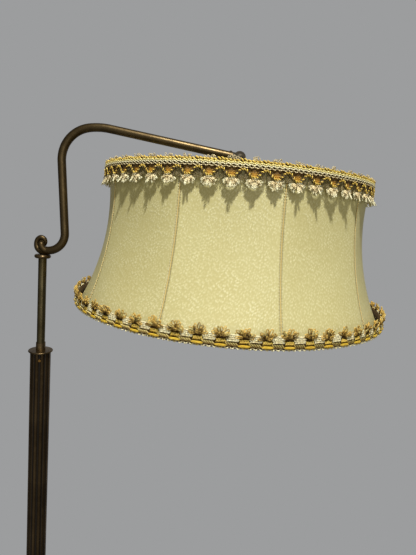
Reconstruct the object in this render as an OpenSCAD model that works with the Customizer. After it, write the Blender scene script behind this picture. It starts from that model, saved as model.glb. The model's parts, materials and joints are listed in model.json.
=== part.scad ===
// Bridge floor lamp. A fluted brass column stands on a round weighted base. A rod slides and
// turns in its head and carries a swan-neck arm that starts in a volute, and a ten-panel
// vellum shade with braid, scallop cord and tassels tilts on the knuckle at the arm's end.
// The origin lies on the floor under the column, +Z is up and the arm reaches towards +X.

/* [Base] */
// Diameter of the base
base_d = 270; // [240:5:310]
// Height of the cover's upright rim
rim_h = 15; // [13:1:20]
// Radius of the rounded edge on the rim
rim_round = 6; // [3:0.5:7]
// Width of the flat ledge inside the rounded edge
ledge_w = 14; // [10:1:20]
// Height that the cove climbs from the ledge to the seat
cove_rise = 23; // [16:1:32]
// Wall of the spun cover
cover_t = 1.2; // [0.8:0.1:2]
// Diameter of the flat seat in the middle of the cover
seat_d = 60; // [56:1:70]
// Thickness of the felt under the base
felt_t = 3; // [2:0.5:5]
// Distance of the felt's edge inside the cover's rim
felt_inset = 1.5; // [1:0.5:10]
// Diameter of the cast weight
weight_d = 234; // [180:2:236]
// Diameter of the weight's second step
step_d = 130; // [90:2:150]
// Diameter of the weight's hub
hub_d = 44; // [34:1:50]
// Diameter of the recess under the weight
recess_d = 30; // [26:1:32]
// Depth of the recess under the weight
recess_h = 18; // [15:1:22]
// Width of the channel for the lead under the weight
channel_w = 8; // [6:0.5:12]
// Height of the channel for the lead
channel_h = 10; // [9.5:0.5:12]

/* [Foot] */
// Diameter of the foot cup's flange
cup_d = 52; // [46:1:56]
// Height of the foot cup
cup_h = 30; // [24:1:40]
// Thickness of the foot cup's flange
cup_flange = 6; // [4:0.5:8]
// Wall of the foot cup round the column
cup_wall = 2.6; // [2:0.2:4]
// Thickness of the foot cup's floor
cup_floor = 5; // [3:0.5:8]
// Length of the plug in the column's lower end
plug_h = 30; // [20:1:40]

/* [Column] */
// Diameter of the fluted column
column_d = 25; // [24:0.5:30]
// Length of the fluted column
column_len = 1165; // [900:5:1300]
// Diameter of the column's bore
bore_d = 20; // [18.5:0.5:21]
// Number of flutes
flutes = 12; // [8:1:16]
// Radius of a flute's round bottom
flute_r = 2.2; // [1.6:0.1:2.6]
// Depth of a flute
flute_depth = 1.3; // [0.6:0.1:1.6]
// Diameter of the plate on top of the column
plate_d = 30; // [28:0.5:36]
// Thickness of the plate
plate_t = 2; // [1.5:0.5:4]
// Height of the ferrule above the plate
ferrule_h = 10; // [6:0.5:20]
// Wall of the ferrule
ferrule_wall = 0.5; // [0.4:0.05:0.9]
// Length of the head in the column's upper end
head_h = 45; // [35:1:60]
// Thickness of the lip under the bush
head_lip = 3; // [2:0.5:5]
// Wall of the friction bush
bush_wall = 2.45; // [1.5:0.05:2.6]
// Distance of the head screw below the plate
screw_drop = 9; // [7:0.5:20]
// Turn of the flutes and the head screw from the front towards the shade's side
column_turn = 18; // [-30:1:30]

/* [Rod] */
// Outer diameter of the lamp pipe used for the rod and the arm
pipe_d = 10; // [9:0.5:10.5]
// Bore of the lamp pipe
pipe_bore = 7; // [6.4:0.1:7.4]
// Length of rod that shows at rest
rod_out = 109; // [60:1:200]
// Travel of the rod upwards from rest
travel_up = 250; // [100:5:400]
// Height of the stop on the rod's lower end
stop_h = 14; // [8:1:20]
// Diameter of the disc collar under the arm
disc_d = 19.5; // [18:0.5:26]
// Thickness of the disc collar
disc_t = 5; // [4:0.5:7]

/* [Arm] */
// Sideways shift of the hook's lowest point from the rod
hook_shift = 5.2; // [4.5:0.1:7]
// Bend radius of the hook
hook_r = 22; // [18:0.5:30]
// Angle of the hook's tail towards the volute
tail_turn = 20; // [15:1:24]
// Backward lean of the upright leg
leg_lean = 4.2; // [0:0.2:8]
// Length of the upright leg
leg_len = 86; // [60:1:140]
// Bend radius of the shoulder
shoulder_r = 39; // [30:1:60]
// Bend radius of the crown
crown_r = 80; // [50:1:120]
// Climb of the arm where the shoulder meets the crown
crown_rise = 10; // [4:1:20]
// Fall of the straight beam
beam_drop = 8; // [0:1:14]
// Length of the straight beam
beam_len = 149; // [120:1:220]
// Diameter of the lead in the arm
lead_d = 5; // [4:0.1:5.4]

/* [Knuckle] */
// Diameter of the knuckle discs
knuckle_d = 14.5; // [14:0.5:20]
// Length of the upper neck between the disc and the arm
neck_len = 1.2; // [0.8:0.1:4]
// Length of the spigot in the arm's end
spigot_len = 12; // [8:0.5:16]
// Thickness of the friction washer
washer_t = 0.5; // [0.3:0.1:1]
// Diameter of the knuckle screw
pivot_d = 4; // [3:0.5:5]
// Diameter of the knuckle screw's head
pivot_head_d = 8; // [7:0.5:9]
// Height of the knuckle screw's head
pivot_head_h = 2.2; // [1.5:0.1:3]
// Height of the knuckle nut
pivot_nut_h = 3.2; // [2.5:0.1:5]
// Distance from the pivot to the end of the lower boss
boss_drop = 19; // [18:0.5:26]
// Diameter of the lower boss
boss_d = 13; // [12.5:0.5:16]

/* [Lampholder] */
// Diameter of the lampholder
holder_d = 39; // [38:0.5:42]
// Wall of the lampholder shells
holder_wall = 1.2; // [1:0.1:1.6]
// Height of the cap's dome and skirt
cap_h = 26; // [22:1:34]
// Height of the lower shell
shell_h = 36; // [32:1:44]
// Distance from the shell's top to its collar
collar_drop = 8; // [6:0.5:14]
// Height of the knurled shade ring
shade_ring_h = 7; // [5:0.5:10]
// Diameter of the bulb's screw cap
bulb_cap_d = 26; // [24:0.5:27]
// Height of the bulb's screw cap
bulb_cap_h = 24; // [20:1:26]
// Diameter of the bulb
bulb_d = 60; // [45:1:70]
// Length of the bulb below its cap
bulb_len = 80; // [68:1:85]

/* [Shade] */
// Radius of the vellum's upper edge where the rib is upright
shade_r = 149; // [130:0.5:180]
// Height of the vellum
shade_h = 152; // [130:1:180]
// Radius of the ribs' inward curve
curve_r = 320; // [280:5:600]
// Distance below the upper edge at which the ribs stand upright
waist_drop = 25; // [0:1:50]
// Distance of the vellum's upper edge below the pivot
shade_drop = 24; // [21:0.5:30]
// Thickness of the vellum
vellum_t = 0.6; // [0.5:0.1:1]
// Turn of the first seam round the shade
seam_turn = -2.6; // [-18:0.1:18]
// Thickness of the ring wire
ring_wire = 3; // [2.5:0.1:4]
// Thickness of the rib wire
rib_wire = 2.4; // [2:0.1:3]
// Radius of the piping in the seams
piping_r = 0.8; // [0.6:0.1:1]
// Number of arms of the spider
spider_arms = 3; // [3:1:5]
// Thickness of the spider's arms
spider_wire = 4; // [3:0.5:5]

/* [Braid] */
// Height of the woven band round the top
band_h = 7; // [5:0.5:12]
// Distance that the woven band stands above the vellum's edge
band_over = 2; // [1:0.5:4]
// Thickness of the woven band
band_t = 4.2; // [3:0.1:6]
// Number of scallops and tassels round the top
tassels = 50; // [40:1:60]
// Turn of the first tassel round the shade
tassel_turn = 0.5; // [-4:0.1:4]
// Height of a scallop
scallop_h = 6; // [4:0.5:9]
// Radius of the scallop cord
scallop_r = 0.9; // [0.7:0.1:1.6]
// Width of a tassel at its lower edge
tassel_w = 14.5; // [8:0.5:15]
// Height of a tassel
tassel_h = 9; // [5:0.5:11]
// Thickness of a tassel
tassel_t = 4; // [2:0.5:5]
// Height of the band round the bottom
hem_h = 10; // [7:0.5:14]
// Distance that the bottom band stands below the vellum's edge
hem_under = 1.5; // [0.5:0.5:3]
// Thickness of the bottom band
hem_t = 3.4; // [2.5:0.1:5]
// Number of tufts round the bottom
tufts = 58; // [45:1:66]
// Turn of the first tuft round the shade
tuft_turn = 1.3; // [-4:0.1:4]
// Width of a tuft at its upper edge
tuft_w = 13; // [8:0.5:14]
// Height of a tuft
tuft_h = 11; // [7:0.5:13]
// Thickness of a tuft
tuft_t = 4; // [2:0.5:5]

/* [Hidden] */

$fn = 64;
seat_gap = 0.05;      // between pieces that are fixed to each other
run_gap = 0.05;       // between a shaft and the bore it turns or slides in
free_gap = 0.3;       // between pieces that pass each other
fine_fn = 720;        // facets of a full circle of very large radius
eps = 1;              // overshoot of a cutting tool

aged_brass = [0.36, 0.27, 0.16];
bright_brass = [0.72, 0.56, 0.28];
plated_steel = [0.6, 0.6, 0.58];
vellum = [0.87, 0.84, 0.62];
gold_yarn = [0.86, 0.66, 0.26];
cream_yarn = [0.93, 0.88, 0.7];

// Base heights
rim_top = felt_t + rim_h;
seat_z = rim_top + cove_rise;
cove_x = base_d / 2 - ledge_w;
cove_w = cove_x - seat_d / 2;
cove_r = (cove_w * cove_w + cove_rise * cove_rise) / (2 * cove_rise);
lead_r = lead_d / 2;
inlet_hole_r = lead_r + 0.9;
inlet_flange_r = inlet_hole_r + 0.9;
inlet_z = felt_t + inlet_flange_r + free_gap;
bush_flange = 1.5;
weight_gap = 0.5;
base_washer_t = 2;
base_nut_h = 5;
base_nut_r = 9.2;
nipple_r = 4.95;
recess_top = felt_t + recess_h;
nipple_bottom = recess_top - base_washer_t - base_nut_h - 1;
lead_bend = 5;

// Column heights
foot_z = seat_z + cup_floor;
column_top = foot_z + column_len;
flute_x = column_d / 2 + flute_r - flute_depth;
plate_top = column_top + plate_t;
ferrule_top = plate_top + ferrule_h;
pipe_r = pipe_d / 2;
pipe_bore_r = pipe_bore / 2;
head_r = bore_d / 2 - seat_gap;
head_bottom = column_top - head_h;
ferrule_bore = pipe_r + free_gap;
ferrule_r = ferrule_bore + ferrule_wall;
ferrule_flange_r = ferrule_r + 1.4;
ferrule_flange_h = 4;
bush_bore = pipe_r + run_gap;
bush_r = bush_bore + bush_wall;
bush_seat_r = bush_r + run_gap;
head_screw_r = 1.2;
head_screw_head_r = 1.7;
head_screw_head_h = 1.2;
head_screw_len = 1.4;

// Rod heights
disc_z = ferrule_top + rod_out;
disc_top = disc_z + disc_t;
stop_top = head_bottom - travel_up - 1;
rod_bottom = stop_top - stop_h - 2;
stop_r = bore_d / 2 - free_gap;

// The arm's centre line, seen from the front: each row is [length, 0] for a straight run
// or [bend radius, turn] for a bend, and a positive turn is anticlockwise
hook_z = disc_top + pipe_r + seat_gap;
upper_runs = [[leg_len, 0], [shoulder_r, crown_rise - 90 - leg_lean],
              [crown_r, -crown_rise - beam_drop], [beam_len, 0]];
arm_runs = concat([[hook_r, 90 + leg_lean + tail_turn]], upper_runs);
tail_pen = [hook_shift - hook_r * sin(tail_turn), hook_z + hook_r * (1 - cos(tail_turn)), -tail_turn];
lead_below = 10;
lead_foot = column_top - lead_below;
lead_pen = [0, lead_foot, 90];
lead_entry = [[hook_z - hook_shift - lead_foot, 0], [hook_shift, -90]];
lead_runs = concat(lead_entry, [[hook_r, 90 + leg_lean]], upper_runs);
lead_slack = 0.5;
lead_hole_r = lead_r + lead_slack;

// Faint band that bending leaves where two runs meet
mark_w = 0.3;
mark_h = 0.02;

// The volute's bar: each row is [bend radius, turn, bar radius at its end]
volute_runs = [[6.4, tail_turn - 90, 3.4], [30, -10, 3.1], [4.2, -80, 2.9], [4.8, -90, 2.4],
               [2.8, -90, 1.9], [1.6, -50, 1.6]];
volute_sides = 16;
volute_steps = 7;

// Underside of the base cover at a radius on the cove
function under_z(r) = rim_top + cove_r - sqrt(pow(cove_r + cover_t, 2) - pow(cove_x - r, 2));

// Where a pen stands after its runs
function step_pen(pen, run) =
    let (s = run[0], t = run[1], h = pen[2], g = sign(t))
    t == 0
        ? [pen[0] + s * cos(h), pen[1] + s * sin(h), h]
        : [pen[0] + g * s * (sin(h + t) - sin(h)), pen[1] - g * s * (cos(h + t) - cos(h)), h + t];
function walk(pen, runs, i = 0) = i == len(runs) ? pen : walk(step_pen(pen, runs[i]), runs, i + 1);

// Knuckle places
arm_end = walk(tail_pen, arm_runs);
knuckle_r = knuckle_d / 2;
upper_reach = knuckle_r + neck_len;
pivot_x = arm_end[0] + upper_reach * cos(beam_drop);
pivot_z = arm_end[1] - upper_reach * sin(beam_drop);
disc_in = washer_t / 2 + seat_gap;
disc_out = pipe_r;
pivot_r = pivot_d / 2;
boss_bore_h = 8;
lower_neck_r = pipe_r - 0.2;
grub_back = 3;
grub_r = 1.5;
grub_out = 0.9;

// Lampholder heights below the pivot
holder_r = holder_d / 2;
cap_boss_h = 7;
cap_boss_r = 8;
cap_top = boss_drop + seat_gap;
cap_dome = cap_top + cap_boss_h;
cap_bottom = cap_dome + cap_h - cap_boss_h;
shell_bottom = cap_bottom + shell_h;
collar_at = cap_bottom + collar_drop;
collar_r = holder_r + 4.5;
collar_t = 1.5;
spider_t = 1.5;
insert_h = 12;
screw_shell_t = 0.5;
screw_shell_r = bulb_cap_d / 2 + free_gap;
bulb_top = cap_bottom + insert_h + 2;
glass_top = bulb_top + bulb_cap_h;
glass_bottom = glass_top + bulb_len;
glass_t = 0.9;
neck_r = bulb_cap_d / 2 - 1.5;

// Shade heights and radii
shade_top = pivot_z - shade_drop;
shade_bottom = shade_top - shade_h;
waist_z = shade_top - waist_drop;
panels = 10;
seam_step = 360 / panels;
seam_gap = 2 * piping_r + 2 * seat_gap;
lining = max(vellum_t, piping_r) + seat_gap;
hem_z = shade_bottom + ring_wire / 2;
top_wire_z = shade_top - ring_wire / 2;
spider_low = pivot_z - collar_at - collar_t - spider_t;
spider_hole_r = holder_r + free_gap;
spider_rim_r = holder_r + 9;

// Radius at height z of a line that runs beside the ribs at a distance in_by inside the vellum's face
function face_r(z, in_by) = shade_r + curve_r - sqrt(pow(curve_r + in_by, 2) - pow(z - waist_z, 2));

// Braid places
band_in = face_r(shade_top, 0) + piping_r + free_gap;
backing_t = 1.6;
scallop_at = band_in + backing_t + free_gap + scallop_r;
scallop_mid = shade_top + band_over - band_h - scallop_r - free_gap - scallop_h / 2;
tassel_top = scallop_mid - scallop_h / 2 - scallop_r - free_gap;
backing_low = tassel_top + seat_gap;
hem_in = face_r(shade_bottom, 0) + piping_r + 2 * free_gap;
tuft_in = hem_in - 1.5;
tuft_low = shade_bottom - hem_under + hem_h + seat_gap;

// Arcs and tubes -----------------------------------------------------------------------------

// A round bar along runs of straights and bends, from the pen's place, in the XY plane
module bar_run(runs, r, i = 0) {
    if (i < len(runs)) {
        s = runs[i][0];
        t = runs[i][1];
        next = step_pen([0, 0, 0], runs[i]);
        if (i > 0) translate([-mark_w / 2, 0, 0]) rotate([0, 90, 0]) cylinder(h = mark_w, r = r + mark_h);
        if (t == 0) rotate([0, 90, 0]) cylinder(h = s, r = r);
        else if (t > 0) bend(s, t, r);
        else mirror([0, 1, 0]) bend(s, -t, r);
        translate([next[0], next[1], 0]) rotate([0, 0, t]) bar_run(runs, r, i + 1);
    }
}

// One bend to the left of a bar that starts along +X
module bend(s, t, r) {
    translate([0, s, 0]) rotate([0, 0, -90])
        rotate_extrude(angle = t, $fn = 128) translate([s, 0]) circle(r);
}

// Puts a bar that starts at a pen into the arm's upright plane
module from_pen(pen) {
    translate([pen[0], 0, pen[1]]) rotate([90, 0, 0]) rotate([0, 0, pen[2]]) children();
}

// Stations [x, z, heading, bar radius] along the volute
function curl(pen, bar, i = 0) =
    i == len(volute_runs) ? [] : let (
        run = volute_runs[i],
        last = i == len(volute_runs) - 1,
        here = [for (k = [0 : volute_steps - (last ? 0 : 1)]) let (
            f = k / volute_steps,
            p = k == 0 ? pen : step_pen(pen, [run[0], f * run[1]]))
            [p[0], p[1], p[2], bar + f * (run[2] - bar)]]
    ) concat(here, curl(step_pen(pen, run), run[2], i + 1));

// A ring of points round a station, square to its heading
function hoop(s, sides) = [for (k = [0 : sides - 1]) let (a = 360 * k / sides)
    [s[0] - s[3] * cos(a) * sin(s[2]), s[3] * sin(a), s[1] + s[3] * cos(a) * cos(s[2])]];

// The same heading carried on into a round end
function round_end(s, n) = [for (k = [1 : n]) let (a = 85 * k / n)
    [s[0] + s[3] * sin(a) * cos(s[2]), s[1] + s[3] * sin(a) * sin(s[2]), s[2], s[3] * cos(a)]];

// Triangles between hoops of the same number of sides
function skin(rings, sides, closed) = [for (i = [0 : rings - (closed ? 1 : 2)], k = [0 : sides - 1])
    let (a = i * sides + k, b = i * sides + (k + 1) % sides, c = ((i + 1) % rings) * sides)
    each [[a, b, c + (k + 1) % sides], [a, c + (k + 1) % sides, c + k]]];

// Base ---------------------------------------------------------------------------------------

module felt_pad() {
    color("darkolivegreen") cylinder(h = felt_t, r = base_d / 2 - felt_inset);
}

module base_weight() {
    color("dimgray") difference() {
        union() {
            translate([0, 0, felt_t]) cylinder(h = rim_h - cover_t - weight_gap, r = weight_d / 2);
            translate([0, 0, felt_t])
                cylinder(h = under_z(step_d / 2) - weight_gap - felt_t, r = step_d / 2);
            translate([0, 0, felt_t])
                cylinder(h = seat_z - cover_t - seat_gap - felt_t, r = hub_d / 2);
        }
        cylinder(h = seat_z, r = nipple_r + free_gap);
        translate([0, 0, felt_t - eps]) cylinder(h = recess_h + eps, r = recess_d / 2);
        translate([-channel_w / 2, 0, felt_t - eps]) cube([channel_w, weight_d, channel_h + eps]);
    }
}

// Half section of the cover's outside, moved in by a wall
module cover_section(inset) {
    r = base_d / 2 - inset;
    top = rim_top - inset;
    edge = rim_round - inset;
    translate([0, felt_t]) square([r - edge, top - felt_t]);
    translate([0, felt_t]) square([r, top - edge - felt_t]);
    translate([r - edge, top - edge]) circle(edge);
    difference() {
        translate([0, top - eps]) square([cove_x, cove_rise + eps]);
        translate([cove_x, rim_top + cove_r]) circle(cove_r + inset, $fn = fine_fn);
    }
}

module base_cover() {
    color(aged_brass) difference() {
        rotate_extrude($fn = 128) difference() {
            cover_section(0);
            cover_section(cover_t);
        }
        translate([0, 0, felt_t]) cylinder(h = seat_z, r = nipple_r + free_gap);
        translate([0, base_d / 2 - ledge_w, inlet_z])
            rotate([-90, 0, 0]) cylinder(h = 2 * ledge_w, r = inlet_hole_r);
    }
}

module cord_bush() {
    inner = base_d / 2 - cover_t - 2 * free_gap;
    waist = cover_t + 3 * free_gap;
    color([0.12, 0.1, 0.09]) translate([0, inner, inlet_z]) rotate([-90, 0, 0]) difference() {
        union() {
            translate([0, 0, -bush_flange]) cylinder(h = bush_flange, r = inlet_flange_r);
            cylinder(h = waist, r = inlet_hole_r - seat_gap);
            translate([0, 0, waist])
                cylinder(h = bush_flange, r1 = inlet_flange_r, r2 = inlet_hole_r);
        }
        translate([0, 0, -bush_flange - eps])
            cylinder(h = waist + 2 * bush_flange + 2 * eps, r = lead_r + free_gap);
    }
}

module base_washer() {
    color(plated_steel) translate([0, 0, recess_top - base_washer_t - seat_gap]) difference() {
        cylinder(h = base_washer_t, r = recess_d / 2 - 2);
        translate([0, 0, -eps]) cylinder(h = base_washer_t + 2 * eps, r = nipple_r + free_gap);
    }
}

module base_nut() {
    z = recess_top - base_washer_t - base_nut_h - 2 * seat_gap;
    color(plated_steel) translate([0, 0, z]) difference() {
        cylinder(h = base_nut_h, r = base_nut_r, $fn = 6);
        translate([0, 0, -eps]) cylinder(h = base_nut_h + 2 * eps, r = nipple_r + seat_gap);
    }
}

module base_nipple() {
    color(plated_steel) translate([0, 0, nipple_bottom]) difference() {
        cylinder(h = foot_z + plug_h - 6 - nipple_bottom, r = nipple_r);
        translate([0, 0, -eps]) cylinder(h = foot_z + plug_h, r = pipe_bore_r);
    }
}

// Foot and column ----------------------------------------------------------------------------

// Half section of the turned cup: a round-edged flange, a cove and a beaded lip
module cup_section() {
    neck = column_d / 2 + seat_gap + cup_wall;
    edge = cup_flange / 2;
    cove = cup_d / 2 - edge - neck;
    square([cup_d / 2 - edge, cup_flange]);
    translate([cup_d / 2 - edge, edge]) circle(edge);
    square([neck, cup_h]);
    translate([neck, cup_h - edge]) circle(edge * 0.7);
    difference() {
        translate([0, cup_flange - eps]) square([neck + cove, cove + eps]);
        translate([neck + cove, cup_flange + cove]) circle(cove);
    }
}

module foot_cup() {
    color(bright_brass) translate([0, 0, seat_z + seat_gap]) difference() {
        rotate_extrude() cup_section();
        translate([0, 0, -eps]) cylinder(h = cup_h, r = nipple_r + free_gap);
        translate([0, 0, cup_floor - seat_gap]) cylinder(h = cup_h, r = column_d / 2 + seat_gap);
    }
}

module column_plug() {
    color(plated_steel) translate([0, 0, foot_z + seat_gap]) difference() {
        cylinder(h = plug_h, r = head_r);
        translate([0, 0, -eps]) cylinder(h = plug_h + 2 * eps, r = nipple_r + seat_gap);
    }
}

module fluted_column() {
    color(aged_brass) rotate([0, 0, column_turn]) difference() {
        translate([0, 0, foot_z + seat_gap]) linear_extrude(height = column_len - 2 * seat_gap)
            difference() {
                circle(column_d / 2);
                circle(bore_d / 2);
                for (k = [0 : flutes - 1])
                    rotate(k * 360 / flutes - 90) translate([flute_x, 0]) circle(flute_r);
            }
        translate([0, 0, column_top - screw_drop]) rotate([90, 0, 0]) {
            cylinder(h = column_d, r = head_screw_r + free_gap);
            translate([0, 0, bore_d / 2 + 0.6]) cylinder(h = column_d, r = head_screw_head_r + 0.1);
        }
    }
}

module column_lead() {
    reach = base_d / 2 - cover_t - free_gap;
    color([0.15, 0.13, 0.12]) translate([0, reach, inlet_z]) rotate([0, 0, -90]) rotate([90, 0, 0])
        bar_run([[reach - lead_bend, 0], [lead_bend, 90], [rod_bottom + 10 - inlet_z, 0]], lead_r);
}

module column_head() {
    color(plated_steel) rotate([0, 0, column_turn]) difference() {
        translate([0, 0, head_bottom]) cylinder(h = head_h - 2 * seat_gap, r = head_r);
        translate([0, 0, head_bottom - eps]) cylinder(h = head_h + 2 * eps, r = pipe_r + free_gap);
        translate([0, 0, head_bottom + head_lip]) cylinder(h = head_h, r = bush_seat_r);
        translate([0, -bore_d / 2 - eps, column_top - screw_drop]) rotate([-90, 0, 0])
            cylinder(h = eps + head_screw_len + seat_gap, r = head_screw_r + seat_gap);
    }
}

module head_screw() {
    color(bright_brass) rotate([0, 0, column_turn]) translate([0, 0, column_top - screw_drop])
        rotate([90, 0, 0]) difference() {
            union() {
                translate([0, 0, bore_d / 2 - head_screw_len])
                    cylinder(h = head_screw_len + 0.8, r = head_screw_r);
                translate([0, 0, bore_d / 2 + 0.65]) cylinder(h = head_screw_head_h, r = head_screw_head_r);
            }
            translate([-head_screw_head_r, -0.25, bore_d / 2 + 0.65 + head_screw_head_h - 0.5])
                cube([2 * head_screw_head_r, 0.5, 1]);
        }
}

// The plate's edge is rounded above and below
module top_plate() {
    edge = plate_t / 2;
    color(aged_brass) translate([0, 0, column_top]) rotate_extrude() difference() {
        union() {
            square([plate_d / 2 - edge, plate_t]);
            translate([plate_d / 2 - edge, edge]) circle(edge);
        }
        translate([0, -eps]) square([ferrule_r + seat_gap, plate_t + 2 * eps]);
    }
}

module guide_ferrule() {
    color(aged_brass) difference() {
        union() {
            translate([0, 0, column_top - seat_gap]) cylinder(h = ferrule_top - column_top, r = ferrule_r);
            translate([0, 0, column_top - ferrule_flange_h - seat_gap])
                cylinder(h = ferrule_flange_h, r = min(ferrule_flange_r, bush_seat_r - seat_gap));
        }
        translate([0, 0, head_bottom]) cylinder(h = ferrule_top, r = ferrule_bore);
    }
}

// Rod ----------------------------------------------------------------------------------------

module friction_bush() {
    low = head_bottom + head_lip + run_gap;
    high = column_top - ferrule_flange_h - 2 * run_gap - seat_gap;
    color([0.85, 0.83, 0.78]) translate([0, 0, low]) difference() {
        cylinder(h = high - low, r = bush_r);
        translate([0, 0, -eps]) cylinder(h = high, r = bush_bore);
    }
}

module rod_stop() {
    color(plated_steel) translate([0, 0, stop_top - stop_h]) difference() {
        cylinder(h = stop_h, r = stop_r);
        translate([0, 0, -eps]) cylinder(h = stop_h + 2 * eps, r = pipe_r + seat_gap);
    }
}

module sliding_rod() {
    color(aged_brass) translate([0, 0, rod_bottom]) difference() {
        cylinder(h = disc_top - seat_gap - rod_bottom, r = pipe_r);
        translate([0, 0, -eps]) cylinder(h = disc_top, r = pipe_bore_r);
    }
}

module disc_collar() {
    edge = disc_t / 2;
    color(aged_brass) translate([0, 0, disc_z]) rotate_extrude() difference() {
        union() {
            square([disc_d / 2 - edge, disc_t]);
            translate([disc_d / 2 - edge, edge]) circle(edge);
        }
        translate([0, -eps]) square([pipe_r + seat_gap, disc_t + 2 * eps]);
    }
}

// Arm ----------------------------------------------------------------------------------------

// The volute: a bar that thins as it curls, with a round end
module arm_scroll() {
    start = [tail_pen[0] - seat_gap * cos(tail_turn), tail_pen[1] + seat_gap * sin(tail_turn),
             180 - tail_turn];
    stations = curl(start, pipe_r);
    path = concat(stations, round_end(stations[len(stations) - 1], 4));
    rings = len(path);
    sides = [for (k = [0 : volute_sides - 1]) k];
    last = (rings - 1) * volute_sides;
    color(aged_brass) polyhedron(
        points = [for (s = path) each hoop(s, volute_sides)],
        faces = concat([[for (k = sides) volute_sides - 1 - k]],
                       skin(rings, volute_sides, false),
                       [[for (k = sides) last + k]]),
        convexity = 6);
}

module arm_tube() {
    color(aged_brass) difference() {
        from_pen(tail_pen) bar_run(arm_runs, pipe_r);
        from_pen(tail_pen) bar_run(arm_runs, pipe_bore_r);
        from_pen(lead_pen) bar_run(lead_entry, lead_hole_r);
        translate([arm_end[0], 0, arm_end[1]]) rotate([0, beam_drop, 0])
            translate([-grub_back, 0, 0]) cylinder(h = pipe_d, r = grub_r + seat_gap);
    }
}

module arm_lead() {
    color([0.15, 0.13, 0.12]) from_pen(lead_pen) bar_run(lead_runs, lead_r);
}

// Knuckle ------------------------------------------------------------------------------------

module at_pivot() {
    translate([pivot_x, 0, pivot_z]) children();
}

// A cylinder across the knuckle, from y = a to y = b
module across(a, b, r) {
    translate([0, a, 0]) rotate([-90, 0, 0]) cylinder(h = b - a, r = r);
}

module knuckle_upper() {
    color(aged_brass) at_pivot() rotate([0, beam_drop, 0]) difference() {
        union() {
            across(disc_in, disc_out, knuckle_r);
            rotate([0, -90, 0]) cylinder(h = upper_reach - seat_gap, r = pipe_r);
            rotate([0, -90, 0]) cylinder(h = upper_reach + spigot_len, r = pipe_bore_r - seat_gap);
        }
        across(-pipe_d, disc_in, knuckle_r + free_gap);
        across(-pipe_d, pipe_d, pivot_r + run_gap);
        translate([-upper_reach + 1, 0, 0]) rotate([0, -90, 0])
            cylinder(h = spigot_len + upper_reach, r = lead_r + 0.15);
    }
}

module grub_screw() {
    low = pipe_bore_r;
    color(plated_steel) translate([arm_end[0], 0, arm_end[1]]) rotate([0, beam_drop, 0])
        translate([-grub_back, 0, low]) difference() {
            cylinder(h = pipe_r + grub_out - low, r = grub_r);
            translate([-grub_r, -0.25, pipe_r + grub_out - low - 0.6]) cube([2 * grub_r, 0.5, 1]);
        }
}

module friction_washer() {
    color("saddlebrown") at_pivot() difference() {
        across(-washer_t / 2, washer_t / 2, knuckle_r - 1);
        across(-1, 1, pivot_r + run_gap);
    }
}

// A slotted screw with a domed head on the front
module knuckle_screw() {
    front = -disc_out - seat_gap;
    color(aged_brass) at_pivot() difference() {
        union() {
            across(front - 0.1, disc_out + pivot_nut_h + 1, pivot_r);
            intersection() {
                across(front - pivot_head_h, front, pivot_head_d / 2);
                translate([0, front - pivot_head_h + pivot_head_d, 0]) sphere(pivot_head_d);
            }
        }
        translate([-pivot_head_d, front - pivot_head_h - eps, -0.4])
            cube([2 * pivot_head_d, eps + 0.9, 0.8]);
    }
}

module knuckle_nut() {
    back = disc_out + seat_gap;
    color(aged_brass) at_pivot() difference() {
        translate([0, back, 0]) rotate([-90, 0, 0])
            cylinder(h = pivot_nut_h, r = pivot_head_d / 2, $fn = 6);
        across(0, disc_out + pivot_nut_h + 2, pivot_r + seat_gap);
    }
}

module knuckle_lower() {
    color(aged_brass) at_pivot() difference() {
        union() {
            across(-disc_out, -disc_in, knuckle_r);
            translate([0, 0, -boss_drop]) cylinder(h = boss_drop, r = lower_neck_r);
            translate([0, 0, -boss_drop]) cylinder(h = boss_bore_h + 1.5, r = boss_d / 2);
        }
        across(-disc_in, pipe_d, knuckle_r + free_gap);
        across(-pipe_d, pipe_d, pivot_r + run_gap);
        translate([0, 0, -boss_drop - eps]) cylinder(h = boss_bore_h + eps, r = nipple_r + seat_gap);
    }
}

// Lampholder ---------------------------------------------------------------------------------

// Lowers a piece to its depth below the pivot
module hang(drop) {
    translate([pivot_x, 0, pivot_z - drop]) children();
}

module holder_nipple() {
    top = boss_drop - boss_bore_h + seat_gap;
    bottom = cap_dome + 4;
    color(plated_steel) hang(bottom) difference() {
        cylinder(h = bottom - top, r = nipple_r);
        translate([0, 0, -eps]) cylinder(h = bottom, r = pipe_bore_r);
    }
}

// Half section of the cap: a boss, a quarter-round dome and a skirt, measured up from its mouth
module cap_section(inset) {
    skirt = cap_bottom - cap_dome;
    dome = min(skirt - 2, holder_r - cap_boss_r);
    translate([0, -inset]) square([holder_r - inset, skirt - dome + inset]);
    translate([0, -inset]) square([holder_r - dome, skirt]);
    translate([holder_r - dome, skirt - dome]) intersection() {
        circle(dome - inset);
        square(dome);
    }
}

module lampholder_cap() {
    color(bright_brass) hang(cap_bottom - seat_gap) difference() {
        union() {
            rotate_extrude() difference() {
                cap_section(0);
                cap_section(holder_wall);
            }
            translate([0, 0, cap_bottom - cap_dome - holder_wall])
                cylinder(h = cap_boss_h + holder_wall - seat_gap, r = cap_boss_r);
        }
        cylinder(h = cap_bottom, r = nipple_r + seat_gap);
    }
}

module lampholder_shell() {
    color(bright_brass) hang(shell_bottom) difference() {
        union() {
            cylinder(h = shell_h, r = holder_r);
            translate([0, 0, shell_bottom - collar_at - collar_t])
                cylinder(h = collar_t, r = collar_r);
        }
        translate([0, 0, -eps]) cylinder(h = shell_h + 2 * eps, r = holder_r - holder_wall);
    }
}

module porcelain_insert() {
    color("white") hang(cap_bottom + insert_h) difference() {
        cylinder(h = insert_h, r = holder_r - holder_wall - seat_gap);
        for (side = [-1, 1])
            translate([side * holder_r / 2, 0, -eps]) cylinder(h = insert_h + 2 * eps, r = 2);
    }
}

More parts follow.
